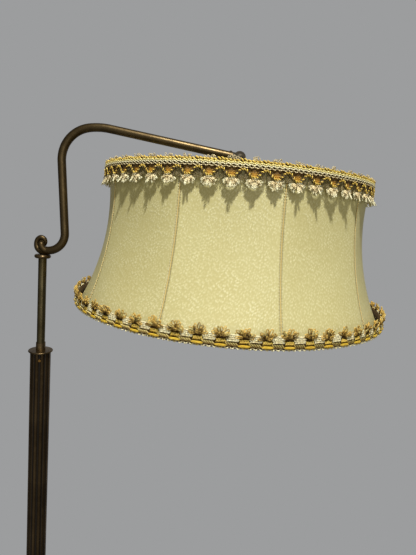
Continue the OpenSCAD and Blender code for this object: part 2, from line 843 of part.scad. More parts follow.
module screw_shell() {
    low = glass_top - 3;
    color(bright_brass) hang(low) difference() {
        cylinder(h = low - cap_bottom - insert_h - seat_gap, r = screw_shell_r + screw_shell_t);
        translate([0, 0, -eps]) cylinder(h = shell_h, r = screw_shell_r);
    }
}

module shade_ring() {
    low = collar_at + collar_t + spider_t + seat_gap + shade_ring_h;
    color(bright_brass) hang(low) difference() {
        cylinder(h = shade_ring_h, r = collar_r);
        translate([0, 0, -eps]) cylinder(h = shade_ring_h + 2 * eps, r = holder_r + seat_gap);
        for (k = [0 : 23])
            rotate(k * 15) translate([collar_r + 0.2, 0, -eps])
                cylinder(h = shade_ring_h + 2 * eps, r = 0.7);
    }
}

module bulb_cap() {
    color(plated_steel) hang(glass_top) {
        cylinder(h = bulb_cap_h - 3, r = bulb_cap_d / 2);
        translate([0, 0, bulb_cap_h - 3]) cylinder(h = 3 - seat_gap, r1 = bulb_cap_d / 2, r2 = 5);
    }
}

// Half section of the bulb: a ball and a tapering neck that meets it without a crease
module glass_section(inset) {
    ball = bulb_d / 2;
    far = bulb_len - ball;
    lean = atan2(far, neck_r) - acos(ball / norm([far, neck_r]));
    translate([0, ball]) intersection() {
        circle(ball - inset, $fn = 128);
        translate([0, -ball]) square([ball, 2 * ball]);
    }
    polygon([[0, ball], [(ball - inset) * cos(lean), ball + (ball - inset) * sin(lean)],
             [neck_r - inset / cos(lean), bulb_len], [0, bulb_len]]);
}

module bulb_glass() {
    color([0.95, 0.94, 0.9]) hang(glass_bottom + seat_gap) rotate_extrude() difference() {
        glass_section(0);
        glass_section(glass_t);
    }
}

// Shade frame --------------------------------------------------------------------------------

// A flat ring on the lampholder with straight arms up to the top ring
module spider() {
    from_r = spider_rim_r - 2;
    from_z = spider_low + spider_t / 2;
    to_r = face_r(top_wire_z, lining + ring_wire) - 0.7;
    run = to_r - from_r;
    rise = top_wire_z - from_z;
    color(plated_steel) translate([pivot_x, 0, 0]) difference() {
        union() {
            translate([0, 0, spider_low]) cylinder(h = spider_t - seat_gap, r = spider_rim_r);
            for (k = [0 : spider_arms - 1])
                rotate(k * 360 / spider_arms + 30) translate([from_r, 0, from_z])
                    rotate([0, atan2(run, rise), 0])
                        cylinder(h = sqrt(run * run + rise * rise), r = spider_wire / 2);
        }
        translate([0, 0, spider_low - 10]) cylinder(h = 20, r = spider_hole_r);
    }
}

module wire_ring(z) {
    color(plated_steel) translate([pivot_x, 0, z]) rotate_extrude($fn = 180)
        translate([face_r(z, lining + ring_wire / 2), 0]) circle(ring_wire / 2, $fn = 24);
}
module top_ring() {
    wire_ring(top_wire_z);
}
module bottom_ring() {
    wire_ring(hem_z);
}

// A wire that keeps its distance from the vellum's face, from one height down to another
module bent_wire(high, low, in_by, r) {
    big = curve_r + in_by;
    up = asin((high - waist_z) / big);
    down = asin((waist_z - low) / big);
    translate([shade_r + curve_r, 0, waist_z]) rotate([90, 0, 0]) rotate(180 - up)
        rotate_extrude(angle = up + down, $fn = fine_fn) translate([big, 0]) circle(r, $fn = 20);
}

module round_seams() {
    translate([pivot_x, 0, 0])
        for (k = [0 : panels - 1]) rotate(seam_turn + k * seam_step) children();
}

module frame_ribs() {
    color(plated_steel) round_seams()
        bent_wire(shade_top - ring_wire - 0.4, shade_bottom + ring_wire + 0.4,
                 lining + rib_wire / 2, rib_wire / 2);
}

module seam_piping() {
    color([0.93, 0.76, 0.42]) round_seams()
        bent_wire(shade_top - 0.5, shade_bottom + 0.5, 0, piping_r);
}

// One panel: a wedge of the curved skin between two seams
module panel(k) {
    gap = asin(seam_gap / (2 * shade_r));
    color(vellum) translate([pivot_x, 0, 0]) rotate(seam_turn + k * seam_step + gap)
        rotate_extrude(angle = seam_step - 2 * gap, $fn = 180) intersection() {
            translate([shade_r + curve_r, waist_z]) difference() {
                circle(curve_r + vellum_t, $fn = fine_fn);
                circle(curve_r, $fn = fine_fn);
            }
            translate([shade_r / 2, shade_bottom]) square([shade_r, shade_h]);
        }
}

module panel_01() { panel(0); }
module panel_02() { panel(1); }
module panel_03() { panel(2); }
module panel_04() { panel(3); }
module panel_05() { panel(4); }
module panel_06() { panel(5); }
module panel_07() { panel(6); }
module panel_08() { panel(7); }
module panel_09() { panel(8); }
module panel_10() { panel(9); }

// Braid --------------------------------------------------------------------------------------

// A woven band with rounded edges, and the thin backing that hangs behind the scallops
module top_braid() {
    edge = band_t / 2;
    low = shade_top + band_over - band_h;
    color(gold_yarn) translate([pivot_x, 0, 0]) rotate_extrude($fn = 180) {
        translate([band_in, low + edge]) square([band_t, band_h - band_t]);
        translate([band_in + edge, low + edge]) circle(edge, $fn = 24);
        translate([band_in + edge, low + band_h - edge]) circle(edge, $fn = 24);
        translate([band_in, backing_low]) square([backing_t, low + edge - backing_low]);
    }
}

// Point on the scallop line at an angle, and a hoop round it
function wave_z(a) = scallop_mid - scallop_h / 2 * cos(tassels * (a - tassel_turn));
function wave_slope(a) = scallop_h / 2 * tassels * sin(tassels * (a - tassel_turn)) / scallop_at;
function wave_hoop(a, sides) = let (tilt = atan(wave_slope(a)))
    [for (k = [0 : sides - 1]) let (
        b = 360 * k / sides,
        out = scallop_at + scallop_r * cos(b),
        side = -scallop_r * sin(b) * sin(tilt))
        [out * cos(a) - side * sin(a), out * sin(a) + side * cos(a),
         wave_z(a) + scallop_r * sin(b) * cos(tilt)]];

module scallop_cord() {
    per_wave = 10;
    sides = 6;
    rings = tassels * per_wave;
    color(gold_yarn) translate([pivot_x, 0, 0]) polyhedron(
        points = [for (i = [0 : rings - 1]) each wave_hoop(360 * i / rings, sides)],
        faces = skin(rings, sides, true), convexity = 12);
}

// A fan of yarn: narrow where it is tied, with a round wide edge
module fan(w, h, t) {
    tie = w * 0.4;
    rotate([90, 0, 90]) linear_extrude(height = t) intersection() {
        polygon([[-tie / 2, 0], [tie / 2, 0], [w / 2, h * 0.6], [w / 2, h], [-w / 2, h], [-w / 2, h * 0.6]]);
        translate([0, h - w * 0.75]) circle(w * 0.75);
    }
}

module top_tassels() {
    color(cream_yarn) translate([pivot_x, 0, tassel_top])
        for (k = [0 : tassels - 1])
            rotate(tassel_turn + k * 360 / tassels) translate([band_in, 0, 0])
                mirror([0, 0, 1]) fan(tassel_w, tassel_h, tassel_t);
}

module bottom_braid() {
    edge = hem_t / 2;
    low = shade_bottom - hem_under;
    color(gold_yarn) translate([pivot_x, 0, 0]) rotate_extrude($fn = 180) {
        translate([hem_in, low + edge]) square([hem_t, hem_h - hem_t]);
        translate([hem_in + edge, low + edge]) circle(edge, $fn = 24);
        translate([hem_in + edge, low + hem_h - edge]) circle(edge, $fn = 24);
    }
}

module bottom_tufts() {
    color([0.6, 0.46, 0.2]) translate([pivot_x, 0, tuft_low])
        for (k = [0 : tufts - 1])
            rotate(tuft_turn + k * 360 / tufts) translate([tuft_in, 0, 0])
                fan(tuft_w, tuft_h, tuft_t);
}

felt_pad();
base_weight();
base_cover();
cord_bush();
base_washer();
base_nut();
base_nipple();
foot_cup();
column_plug();
fluted_column();
column_lead();
column_head();
head_screw();
top_plate();
guide_ferrule();
friction_bush();
rod_stop();
sliding_rod();
disc_collar();
arm_scroll();
arm_tube();
arm_lead();
knuckle_upper();
grub_screw();
friction_washer();
knuckle_screw();
knuckle_nut();
knuckle_lower();
holder_nipple();
lampholder_cap();
lampholder_shell();
porcelain_insert();
screw_shell();
shade_ring();
bulb_cap();
bulb_glass();
spider();
top_ring();
bottom_ring();
frame_ribs();
panel_01();
panel_02();
panel_03();
panel_04();
panel_05();
panel_06();
panel_07();
panel_08();
panel_09();
panel_10();
seam_piping();
top_braid();
scallop_cord();
top_tassels();
bottom_braid();
bottom_tufts();
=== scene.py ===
import json
import math

import bpy
import numpy as np
from mathutils import Matrix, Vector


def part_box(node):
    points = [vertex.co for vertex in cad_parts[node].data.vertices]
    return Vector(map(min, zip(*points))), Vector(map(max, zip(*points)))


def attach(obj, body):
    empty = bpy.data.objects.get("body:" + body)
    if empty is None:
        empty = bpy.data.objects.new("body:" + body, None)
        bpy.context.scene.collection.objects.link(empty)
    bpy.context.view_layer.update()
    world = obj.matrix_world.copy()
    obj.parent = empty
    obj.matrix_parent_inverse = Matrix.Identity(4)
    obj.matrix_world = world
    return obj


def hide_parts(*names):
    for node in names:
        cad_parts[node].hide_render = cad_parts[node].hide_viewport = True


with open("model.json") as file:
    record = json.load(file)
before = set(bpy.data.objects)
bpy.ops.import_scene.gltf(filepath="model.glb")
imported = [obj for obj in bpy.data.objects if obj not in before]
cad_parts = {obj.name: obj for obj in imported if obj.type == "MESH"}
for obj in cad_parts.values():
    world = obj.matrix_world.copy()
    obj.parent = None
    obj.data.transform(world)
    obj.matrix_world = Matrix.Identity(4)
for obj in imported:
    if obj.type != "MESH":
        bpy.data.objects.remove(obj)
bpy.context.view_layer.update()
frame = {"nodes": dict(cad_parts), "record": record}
mm = 0.001
turn = 2 * math.pi
print("frame loaded:", len(frame["nodes"]), "nodes")


def makePiece(name, parts, material, body, replaced=()):
    # One mesh from parts, whose points, faces, uvs and tones are laid end to end
    faces, uvs, start = [], [], 0
    for part in parts:
        faces += [face + start for face in part["faces"]]
        uvs += [uv.reshape(-1, 2) for uv in part["uvs"]]
        start += part["points"].size // 3
    points = np.concatenate([part["points"].ravel() for part in parts])
    corners = np.concatenate([face.ravel() for face in faces])
    counts = np.concatenate([np.full(len(face), face.shape[1]) for face in faces])
    mesh = bpy.data.meshes.new(name)
    mesh.vertices.add(start)
    mesh.vertices.foreach_set("co", points.astype(np.float32))
    mesh.loops.add(len(corners))
    mesh.loops.foreach_set("vertex_index", corners.astype(np.int32))
    mesh.polygons.add(len(counts))
    mesh.polygons.foreach_set("loop_start", (np.cumsum(counts) - counts).astype(np.int32))
    mesh.polygons.foreach_set("loop_total", counts.astype(np.int32))
    mesh.polygons.foreach_set("use_smooth", np.ones(len(counts), bool))
    layer = mesh.uv_layers.new(name="UVMap")
    layer.data.foreach_set("uv", np.concatenate(uvs).astype(np.float32).ravel())
    for key in ("tone", "tip"):
        values = np.concatenate([part[key].ravel() for part in parts])
        mesh.attributes.new(key, "FLOAT", "POINT").data.foreach_set("value", values.astype(np.float32))
    mesh.validate()
    mesh.materials.append(material)
    piece = bpy.data.objects.new(name, mesh)
    bpy.context.scene.collection.objects.link(piece)
    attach(piece, body)
    if replaced:
        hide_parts(*replaced)


def unit(vectors):
    # Each vector divided by its own length
    return vectors / np.linalg.norm(vectors, axis=-1, keepdims=True)


def quadUv(a, b, low, high):
    # Uvs of each face's four corners, which run from a to b along the piece and from low to high across it
    return np.stack([np.stack(corner, -1) for corner in ((a, low), (b, low), (b, high), (a, high))], -2)


def tubes(paths, radii, sides, outward, closed=False, tone=0.0, squash=1.0):
    # A round section carried along each path: point = path + radius * (cos a * side + sin a * squash * up),
    # where side = tangent x outward, up = side x tangent and a goes once round the section
    count, steps = paths.shape[:2]
    if closed:
        tangent = unit(np.roll(paths, -1, 1) - np.roll(paths, 1, 1))
        stride = np.linalg.norm(np.roll(paths, -1, 1) - paths, axis=2)
    else:
        tangent = unit(np.gradient(paths, axis=1))
        stride = np.linalg.norm(np.diff(paths, axis=1), axis=2)
    side = unit(np.cross(tangent, outward))
    up = np.cross(side, tangent) * squash
    angle = np.arange(sides) * turn / sides
    section = np.cos(angle)[:, None] * side[:, :, None, :] + np.sin(angle)[:, None] * up[:, :, None, :]
    radii = np.broadcast_to(radii, (count, steps))
    points = paths[:, :, None, :] + radii[:, :, None, None] * section
    spans = steps if closed else steps - 1
    k, i, j = np.meshgrid(np.arange(count), np.arange(spans), np.arange(sides), indexing="ij")
    here, there = (k * steps + i) * sides, (k * steps + (i + 1) % steps) * sides
    after = (j + 1) % sides
    faces = [np.stack([here + j, there + j, there + after, here + after], -1).reshape(-1, 4)]
    along = np.concatenate([np.zeros((count, 1)), np.cumsum(stride, 1)], 1)
    uvs = [quadUv(along[k, i], along[k, i + 1], j / sides, (j + 1) / sides)]
    if not closed:
        first = np.arange(count)[:, None] * steps * sides + np.arange(sides)
        last = first[:, ::-1] + (steps - 1) * sides
        faces += [first, last]
        uvs.append(np.zeros((2 * count, sides, 2)))
    shape = (count, steps, sides)
    # tip runs from 0 at each path's start to 1 at its end; the yarn paints shade where it is low
    return dict(points=points, faces=faces, uvs=uvs,
                tone=np.broadcast_to(np.reshape(tone, (-1, 1, 1)), shape),
                tip=np.broadcast_to(np.linspace(0, 1, steps)[None, :, None], shape))


def revolve(profile, centre, steps):
    # A closed profile of (radius, height) turned about the upright line through centre:
    # x = centre + radius cos a, y = radius sin a, z = height
    profile = np.asarray(profile, float)
    count = len(profile)
    radius, z = profile.T
    angle = np.arange(steps)[:, None] * turn / steps
    points = np.stack(np.broadcast_arrays(centre + np.cos(angle) * radius, np.sin(angle) * radius, z), -1)
    i, j = np.meshgrid(np.arange(steps), np.arange(count), indexing="ij")
    here, there, after = i * count, (i + 1) % steps * count, (j + 1) % count
    quads = np.stack([here + j, there + j, there + after, here + after], -1)
    stride = np.linalg.norm(np.roll(profile, -1, 0) - profile, axis=1)
    along = np.concatenate([[0], np.cumsum(stride)])
    reach = radius.max() * turn / steps
    uv = quadUv(i * reach, (i + 1) * reach, along[j], along[j + 1])
    zeros = np.zeros(steps * count)
    return dict(points=points, faces=[quads.reshape(-1, 4)], uvs=[uv], tone=zeros, tip=zeros)


def addNode(tree, kind, sockets=(), **settings):
    # A node with its settings; sockets pairs an input's name or number with a value or another socket
    node = tree.nodes.new("ShaderNode" + kind)
    for key, value in settings.items():
        setattr(node, key, value)
    for key, value in dict(sockets).items():
        if isinstance(value, bpy.types.NodeSocket):
            tree.links.new(value, node.inputs[key])
        else:
            node.inputs[key].default_value = value
    return node


def treeOf(*values):
    # The node tree that the first socket among the values belongs to
    return next(value.id_data for value in values if isinstance(value, bpy.types.NodeSocket))


def calc(operation, a, b=0.0, c=0.0):
    # One of Blender's own sums of up to three values
    return addNode(treeOf(a, b, c), "Math", {0: a, 1: b, 2: c}, operation=operation).outputs[0]


def times(a, b):
    # a * b
    return calc("MULTIPLY", a, b)


def timesPlus(a, b, c):
    # a * b + c
    return calc("MULTIPLY_ADD", a, b, c)


def blendColour(share, a, b):
    # Colour a + share * (b - a)
    return addNode(treeOf(share, a, b), "Mix", {0: share, 6: a, 7: b}, data_type="RGBA").outputs[2]


def blendFloat(share, a, b):
    # Number a + share * (b - a)
    return addNode(treeOf(share, a, b), "Mix", {0: share, 2: a, 3: b}, data_type="FLOAT").outputs[0]


def remap(value, low, high, toLow=0.0, toHigh=1.0):
    # toLow + (toHigh - toLow) * (value - low) / (high - low), held between the two
    sockets = {"Value": value, "From Min": low, "From Max": high, "To Min": toLow, "To Max": toHigh}
    return addNode(treeOf(value), "MapRange", sockets).outputs[0]


def noise(place, scale, detail=3.0, roughness=0.55):
    # Cloudy noise from 0 to 1, with scale clouds to the metre
    sockets = {"Vector": place, "Scale": scale, "Detail": detail, "Roughness": roughness}
    return addNode(treeOf(place), "TexNoise", sockets).outputs[0]


def newGroup(name, outputs, **inputs):
    # A shader node group with named sockets; each input has its default, which is a float or a colour
    group = bpy.data.node_groups.new(name, "ShaderNodeTree")
    kinds = {True: "NodeSocketFloat", False: "NodeSocketColor"}
    for key, value in inputs.items():
        kind = kinds[isinstance(value, float)]
        socket = group.interface.new_socket(name=key, in_out="INPUT", socket_type=kind)
        socket.default_value = lightOf(value)
    for key in outputs:
        group.interface.new_socket(name=key, in_out="OUTPUT", socket_type=kinds[key != "Color"])
    return group, group.nodes.new("NodeGroupInput").outputs, group.nodes.new("NodeGroupOutput").inputs


def finish(name, group, bump=0.0005, **values):
    # A material fed by a group. Each value goes to the group's input of that name, or else straight on the
    # shader's own socket; bump is how high the group's relief stands
    material = bpy.data.materials.new(name)
    material.use_nodes = True
    tree = material.node_tree
    shader = tree.nodes["Principled BSDF"]
    node = addNode(tree, "Group", node_tree=group)
    for key, value in values.items():
        sockets = node.inputs if key in node.inputs else shader.inputs
        sockets[key.replace("_", " ")].default_value = lightOf(value)
    tree.links.new(node.outputs["Color"], shader.inputs["Base Color"])
    for key in ("Roughness", "Metallic"):
        if key in node.outputs:
            tree.links.new(node.outputs[key], shader.inputs[key])
    relief = addNode(tree, "Bump", {"Height": node.outputs["Height"], "Distance": bump})
    tree.links.new(relief.outputs[0], shader.inputs["Normal"])
    return material


def lightOf(value):
    # A colour seen on screen as 0 to 255 becomes the light that a shader wants, and a number stays as it is:
    # ((c / 255 + 0.055) / 1.055) ^ 2.4, or c / 3295 in the darkest tones
    if isinstance(value, float):
        return value
    return (*(((c / 255 + 0.055) / 1.055) ** 2.4 if c > 10 else c / 3295 for c in value), 1.0)


def agedMetalGroup():
    # Patina: broad cloudy noise picks between dark and base, fine specks and streaks wear through to worn,
    # and painted shade darkens the metal below a distance r from the upright axis, where the column's flutes
    # lie, share = (far - r) / (far - near); there the metal is also rougher and less metallic
    group, given, out = newGroup(
        "agedMetal", ("Color", "Roughness", "Metallic", "Height"), Base=(142, 120, 84), Dark=(84, 68, 46),
        Worn=(206, 176, 116), Streak=1.0, Wear=0.3, Smooth=0.22, Rough=0.42, Dirt=(16, 10, 5),
        DirtNear=0.0, DirtFar=0.0001)
    place = addNode(group, "TexCoord").outputs["Object"]
    stretch = addNode(group, "Mapping", {"Vector": place, "Scale": (1, 1, 0.14)}).outputs[0]
    cloud = remap(noise(place, scale=28.0, detail=4.0), 0.32, 0.7)
    streaks = remap(noise(stretch, scale=190.0), 0.42, 0.66)
    specks = remap(noise(place, scale=620.0, detail=2.0), 0.62, 0.74)
    patches = remap(noise(place, scale=75.0, detail=5.0, roughness=0.62), 0.54, 0.78)
    tint = blendColour(cloud, given["Dark"], given["Base"])
    tint = blendColour(times(times(streaks, given["Streak"]), 0.35), tint, given["Dark"])
    tint = blendColour(times(calc("MAXIMUM", patches, specks), given["Wear"]), tint, given["Worn"])
    axes = addNode(group, "SeparateXYZ", {0: place}).outputs
    square = timesPlus(axes[0], axes[0], times(axes[1], axes[1]))
    # Painted shade in the flutes: its share rises as r falls from far to near
    grooveShade = remap(calc("SQRT", square), given["DirtFar"], given["DirtNear"])
    tint = blendColour(times(grooveShade, 0.92), tint, given["Dirt"])
    rough = timesPlus(grooveShade, 0.8, timesPlus(streaks, 0.4, timesPlus(cloud, -0.6, 0.6)))
    group.links.new(tint, out["Color"])
    group.links.new(blendFloat(rough, given["Smooth"], given["Rough"]), out["Roughness"])
    group.links.new(timesPlus(grooveShade, -0.5, 0.92), out["Metallic"])
    group.links.new(timesPlus(specks, -0.4, times(streaks, 0.3)), out["Height"])
    return group


def yarnGroup():
    # Twist: stripes run at a slant round the section, sin(turn * (plies * v + u * twist)), and their valleys
    # get painted shade; fine fibres follow the same slant, tone shifts each strand, and painted shade darkens
    # each strand at its root, so that tip lightens it towards the strand's end
    group, given, out = newGroup(
        "yarn", ("Color", "Height"), Light=(245, 230, 180), Dark=(150, 110, 50), Plies=2.0, Twist=500.0,
        Valley=0.6, Tip=0.0, Spread=0.3)
    coords = addNode(group, "TexCoord").outputs
    uv = addNode(group, "SeparateXYZ", {0: coords["UV"]}).outputs
    phase = timesPlus(uv[0], given["Twist"], times(uv[1], given["Plies"]))
    wave = timesPlus(calc("SINE", times(phase, turn)), 0.5, 0.5)
    fuzz = noise(coords["Object"], scale=1900.0, detail=2.0)
    fibre = addNode(group, "CombineXYZ", {0: times(phase, 6.0), 1: times(uv[0], 90.0)}).outputs[0]
    hairs = noise(fibre, scale=1.0, detail=2.0)
    tone = addNode(group, "Attribute", attribute_name="tone").outputs["Fac"]
    tip = addNode(group, "Attribute", attribute_name="tip").outputs["Fac"]
    # Painted shade: the valleys between plies fall towards Dark
    lit = calc("SUBTRACT", 1.0, times(calc("SUBTRACT", 1.0, wave), given["Valley"]))
    lit = timesPlus(calc("SUBTRACT", tone, 0.5), given["Spread"], lit)
    lit = timesPlus(calc("SUBTRACT", hairs, 0.5), 0.5, lit)
    # Painted shade at the root, where tip is 0
    lit = timesPlus(calc("SUBTRACT", tip, 1.0), given["Tip"], lit)
    share = addNode(group, "Clamp", {"Value": lit}).outputs[0]
    group.links.new(blendColour(share, given["Dark"], given["Light"]), out["Color"])
    group.links.new(timesPlus(fuzz, 0.35, timesPlus(hairs, 0.5, wave)), out["Height"])
    return group


def vellumGroup():
    # Pebbled skin: stretched slanting cells, each with its own strength, are lighter and raised in the
    # middle, over slow mottling
    group, given, out = newGroup(
        "vellum", ("Color", "Roughness", "Height"), Ground=(202, 194, 138), Pebble=(234, 229, 184),
        Stain=(188, 174, 110), Grain=680.0)
    uv = addNode(group, "TexCoord").outputs["UV"]
    drift = addNode(group, "TexNoise", {"Vector": uv, "Scale": 30.0, "Detail": 2.0}).outputs["Color"]
    bent = addNode(group, "VectorMath", {0: drift, 1: (0.004, 0.004, 0), 2: uv},
                   operation="MULTIPLY_ADD").outputs[0]
    slant = addNode(group, "Mapping", {"Vector": bent, "Rotation": (0, 0, math.radians(-58))}).outputs[0]
    cellPlace = addNode(group, "Mapping", {"Vector": slant, "Scale": (0.5, 1.2, 1.0)}).outputs[0]
    cells = addNode(group, "TexVoronoi", {"Vector": cellPlace, "Scale": given["Grain"], "Randomness": 0.85},
                    voronoi_dimensions="2D").outputs
    strength = addNode(group, "SeparateColor", {0: cells["Color"]}).outputs[0]
    pebble = remap(cells["Distance"], 0.5, 0.16)
    pebble = times(pebble, remap(strength, 0.15, 0.8, 0.25, 1.0))
    pebble = times(pebble, remap(noise(uv, scale=60.0), 0.35, 0.65, 0.45, 1.0))
    mottle = remap(noise(uv, scale=14.0, detail=4.0, roughness=0.6), 0.3, 0.7)
    creases = remap(noise(cellPlace, scale=900.0, detail=2.0), 0.35, 0.65)
    tint = blendColour(times(mottle, 0.35), given["Ground"], given["Stain"])
    tint = blendColour(times(pebble, 0.9), tint, given["Pebble"])
    tint = blendColour(times(creases, 0.15), tint, given["Stain"])
    group.links.new(tint, out["Color"])
    group.links.new(timesPlus(pebble, -0.12, 0.5), out["Roughness"])
    group.links.new(timesPlus(creases, 0.15, pebble), out["Height"])
    return group


def evenGroup():
    # Two tones mixed by fine and broad noise in equal parts, for the pieces whose surface is even
    group, given, out = newGroup(
        "evenSurface", ("Color", "Roughness", "Height"), Base=(120, 120, 120), Other=(90, 90, 90),
        Grain=400.0, Smooth=0.4, Rough=0.6)
    place = addNode(group, "TexCoord").outputs["Object"]
    fine = noise(place, scale=given["Grain"])
    broad = remap(noise(place, scale=40.0), 0.35, 0.65)
    share = timesPlus(broad, 0.5, times(remap(fine, 0.35, 0.65), 0.5))
    group.links.new(blendColour(share, given["Base"], given["Other"]), out["Color"])
    group.links.new(blendFloat(share, given["Smooth"], given["Rough"]), out["Roughness"])
    group.links.new(fine, out["Height"])
    return group


agedMetal, yarn, vellumSkin, evenSurface = agedMetalGroup(), yarnGroup(), vellumGroup(), evenGroup()
finishes = {
    "aged_brass": finish("agedBrass", agedMetal, bump=0.0001),
    "bright_brass": finish("brightBrass", agedMetal, bump=0.0001, Base=(196, 160, 92), Dark=(140, 104, 52),
                           Worn=(226, 198, 130), Streak=0.6),
    "plated_steel": finish("platedSteel", evenSurface, bump=0.00003, Base=(176, 176, 172),
                           Other=(150, 150, 148), Metallic=1.0, Smooth=0.28, Rough=0.42),
    "cast_iron": finish("castIron", evenSurface, bump=0.0006, Base=(58, 58, 60), Other=(40, 40, 42),
                        Grain=260.0, Metallic=0.4),
    "felt": finish("felt", evenSurface, Base=(62, 84, 56), Other=(44, 64, 42), Grain=1500.0, Smooth=0.9,
                   Rough=1.0, Sheen_Weight=0.4),
    "black_rubber": finish("blackRubber", evenSurface, Base=(26, 25, 24), Other=(38, 36, 34)),
    "lead_sheath": finish("leadSheath", evenSurface, Base=(44, 36, 30), Other=(56, 47, 40)),
    "bush_plastic": finish("bushPlastic", evenSurface, Base=(222, 218, 206), Other=(208, 203, 190)),
    "fibre": finish("pressedFibre", evenSurface, Base=(120, 66, 38), Other=(92, 50, 30)),
    "porcelain": finish("porcelain", evenSurface, bump=0.00005, Base=(238, 236, 228),
                        Other=(228, 225, 214), Smooth=0.12, Rough=0.2, Coat_Weight=0.5),
    "opal_glass": finish("opalGlass", evenSurface, bump=0.00002, Base=(242, 240, 232),
                         Other=(236, 233, 222), Smooth=0.18, Rough=0.26, Coat_Weight=0.4,
                         Transmission_Weight=0.25),
    "white_wire": finish("whiteWire", evenSurface, bump=0.0002, Base=(224, 219, 202),
                         Other=(196, 186, 160), Grain=900.0),
}
# Pieces of one slot that have darkened or worn differently; the column's finish also paints shade into its
# flutes
columnBrass = finish(
    "columnBrass", agedMetal, bump=0.0001, Base=(108, 88, 60), Dark=(72, 56, 34), Wear=0.1,
    DirtNear=11.3 * mm, DirtFar=12.6 * mm)
rodBrass = finish("rodBrass", agedMetal, bump=0.00008, Base=(114, 102, 70), Dark=(82, 72, 46), Wear=0.12)
barBrass = finish(
    "barBrass", agedMetal, bump=0.00008, Base=(104, 88, 58), Dark=(70, 56, 34), Wear=0.1, Smooth=0.34,
    Rough=0.5)
knuckleBrass = finish(
    "knuckleBrass", agedMetal, bump=0.00008, Base=(84, 78, 66), Dark=(58, 52, 42), Wear=0.1, Smooth=0.55,
    Rough=0.7)
nodeFinishes = {"fluted_column": columnBrass, "sliding_rod": rodBrass, "arm_tube": barBrass}
for node in ("knuckle_upper", "knuckle_lower", "knuckle_screw", "knuckle_nut", "grub_screw"):
    nodeFinishes[node] = knuckleBrass
for part in frame["record"]["subparts"]:
    node, slot = part["node"], part["material_slot"]
    if slot in finishes:
        materials = frame["nodes"][node].data.materials
        materials.clear()
        materials.append(nodeFinishes.get(node, finishes[slot]))


def yarnFinish(name, light, dark, **values):
    # A yarn between the lit colour of its ridges and the painted-shade colour of its valleys
    return finish(name, yarn, Light=light, Dark=dark, **values)


creamYarn = yarnFinish(
    "creamYarn", (255, 250, 206), (214, 176, 92), Valley=0.45, Roughness=0.7, Sheen_Weight=0.2)
tasselYarn = yarnFinish(
    "tasselYarn", (255, 251, 208), (220, 176, 84), Valley=0.15, Tip=0.6, Roughness=0.7, Sheen_Weight=0.35,
    Sheen_Roughness=0.4)
beigeYarn = yarnFinish("beigeYarn", (246, 230, 182), (186, 148, 84), Valley=0.4, Roughness=0.75)
goldYarn = yarnFinish("goldYarn", (255, 226, 108), (190, 122, 22), Valley=0.45, Roughness=0.38)
paleGoldYarn = yarnFinish("paleGoldYarn", (255, 242, 160), (214, 170, 66), Valley=0.4, Roughness=0.6)
ropeYarn = yarnFinish(
    "ropeYarn", (255, 236, 150), (146, 90, 26), Twist=200.0, Valley=0.3, Tip=0.6, Roughness=0.42)
satinYarn = yarnFinish(
    "satinYarn", (252, 212, 70), (196, 138, 26), Plies=9.0, Twist=0.0, Valley=0.4, Roughness=0.32,
    Anisotropic=0.4)
# Satin whose dark tones are painted shade under the top rows
shadedSatin = yarnFinish(
    "shadedSatin", (222, 164, 48), (56, 38, 8), Plies=7.0, Twist=0.0, Valley=0.4, Spread=1.2, Roughness=0.4,
    Sheen_Weight=0.1)
brownYarn = yarnFinish(
    "brownYarn", (248, 206, 104), (84, 56, 4), Valley=0.25, Tip=0.75, Spread=1.0, Roughness=0.7)
greyYarn = yarnFinish(
    "greyYarn", (170, 152, 92), (84, 66, 26), Valley=0.5, Tip=0.3, Roughness=0.75, Sheen_Weight=0.15)
pipingYarn = yarnFinish(
    "piping", (255, 234, 156), (244, 204, 116), Valley=0.35, Roughness=0.6, Sheen_Weight=0.2)
stitchThread = yarnFinish("stitchThread", (246, 240, 200), (216, 202, 148), Valley=0.3, Roughness=0.6)
vellum = finish("vellum", vellumSkin, bump=0.00012, Specular_IOR_Level=0.45)
# Backing painted dark as the shade in the gaps between the scallop's wraps
orangeShadeBacking = finish(
    "orangeShadeBacking", evenSurface, bump=0.0004, Base=(110, 70, 14), Other=(74, 44, 6), Grain=1600.0,
    Smooth=0.7, Rough=0.9)
# Backing painted dark as the shade in the gaps between cords and at the tufts' hearts
darkShadeBacking = finish(
    "darkShadeBacking", evenSurface, bump=0.0004, Base=(92, 66, 14), Other=(56, 38, 8), Grain=1600.0, Smooth=0.8,
    Rough=0.95)
print("finishes made:", len(bpy.data.materials))


# Volute: places and radii of its round bars in millimetres
volute = dict(coil=[(4.5, 0.0, 1341.0), (-2.2, 0.0, 1341.2), (-6.8, 0.0, 1344.6), (-8.2, 0.0, 1350.0),
                    (-6.6, 0.0, 1355.4), (-2.6, 0.0, 1357.9), (1.6, 0.2, 1356.3), (2.9, 1.0, 1352.4),
                    (2.0, 1.8, 1348.8)],
              coilRadii=[4.4, 4.2, 3.5, 2.9, 2.8, 2.95, 2.7, 2.2, 1.6],
              lobe=[(-1.4, -1.6, 1349.4), (-0.8, -2.0, 1347.0), (0.9, -2.0, 1344.5), (3.4, -1.6, 1342.5),
                    (6.4, -0.9, 1341.5)],
              lobeRadii=[4.1, 4.1, 4.0, 3.8, 3.6],
              web=[(-4.4, 1.6, 1350.5), (-3.2, 1.6, 1353.2), (-0.6, 1.6, 1353.6), (0.8, 1.6, 1351.5)],
              webRadii=[2.6, 2.6, 2.6, 2.4], sides=28, stepsEach=9, endSteps=6, endRadius=0.02 * mm)


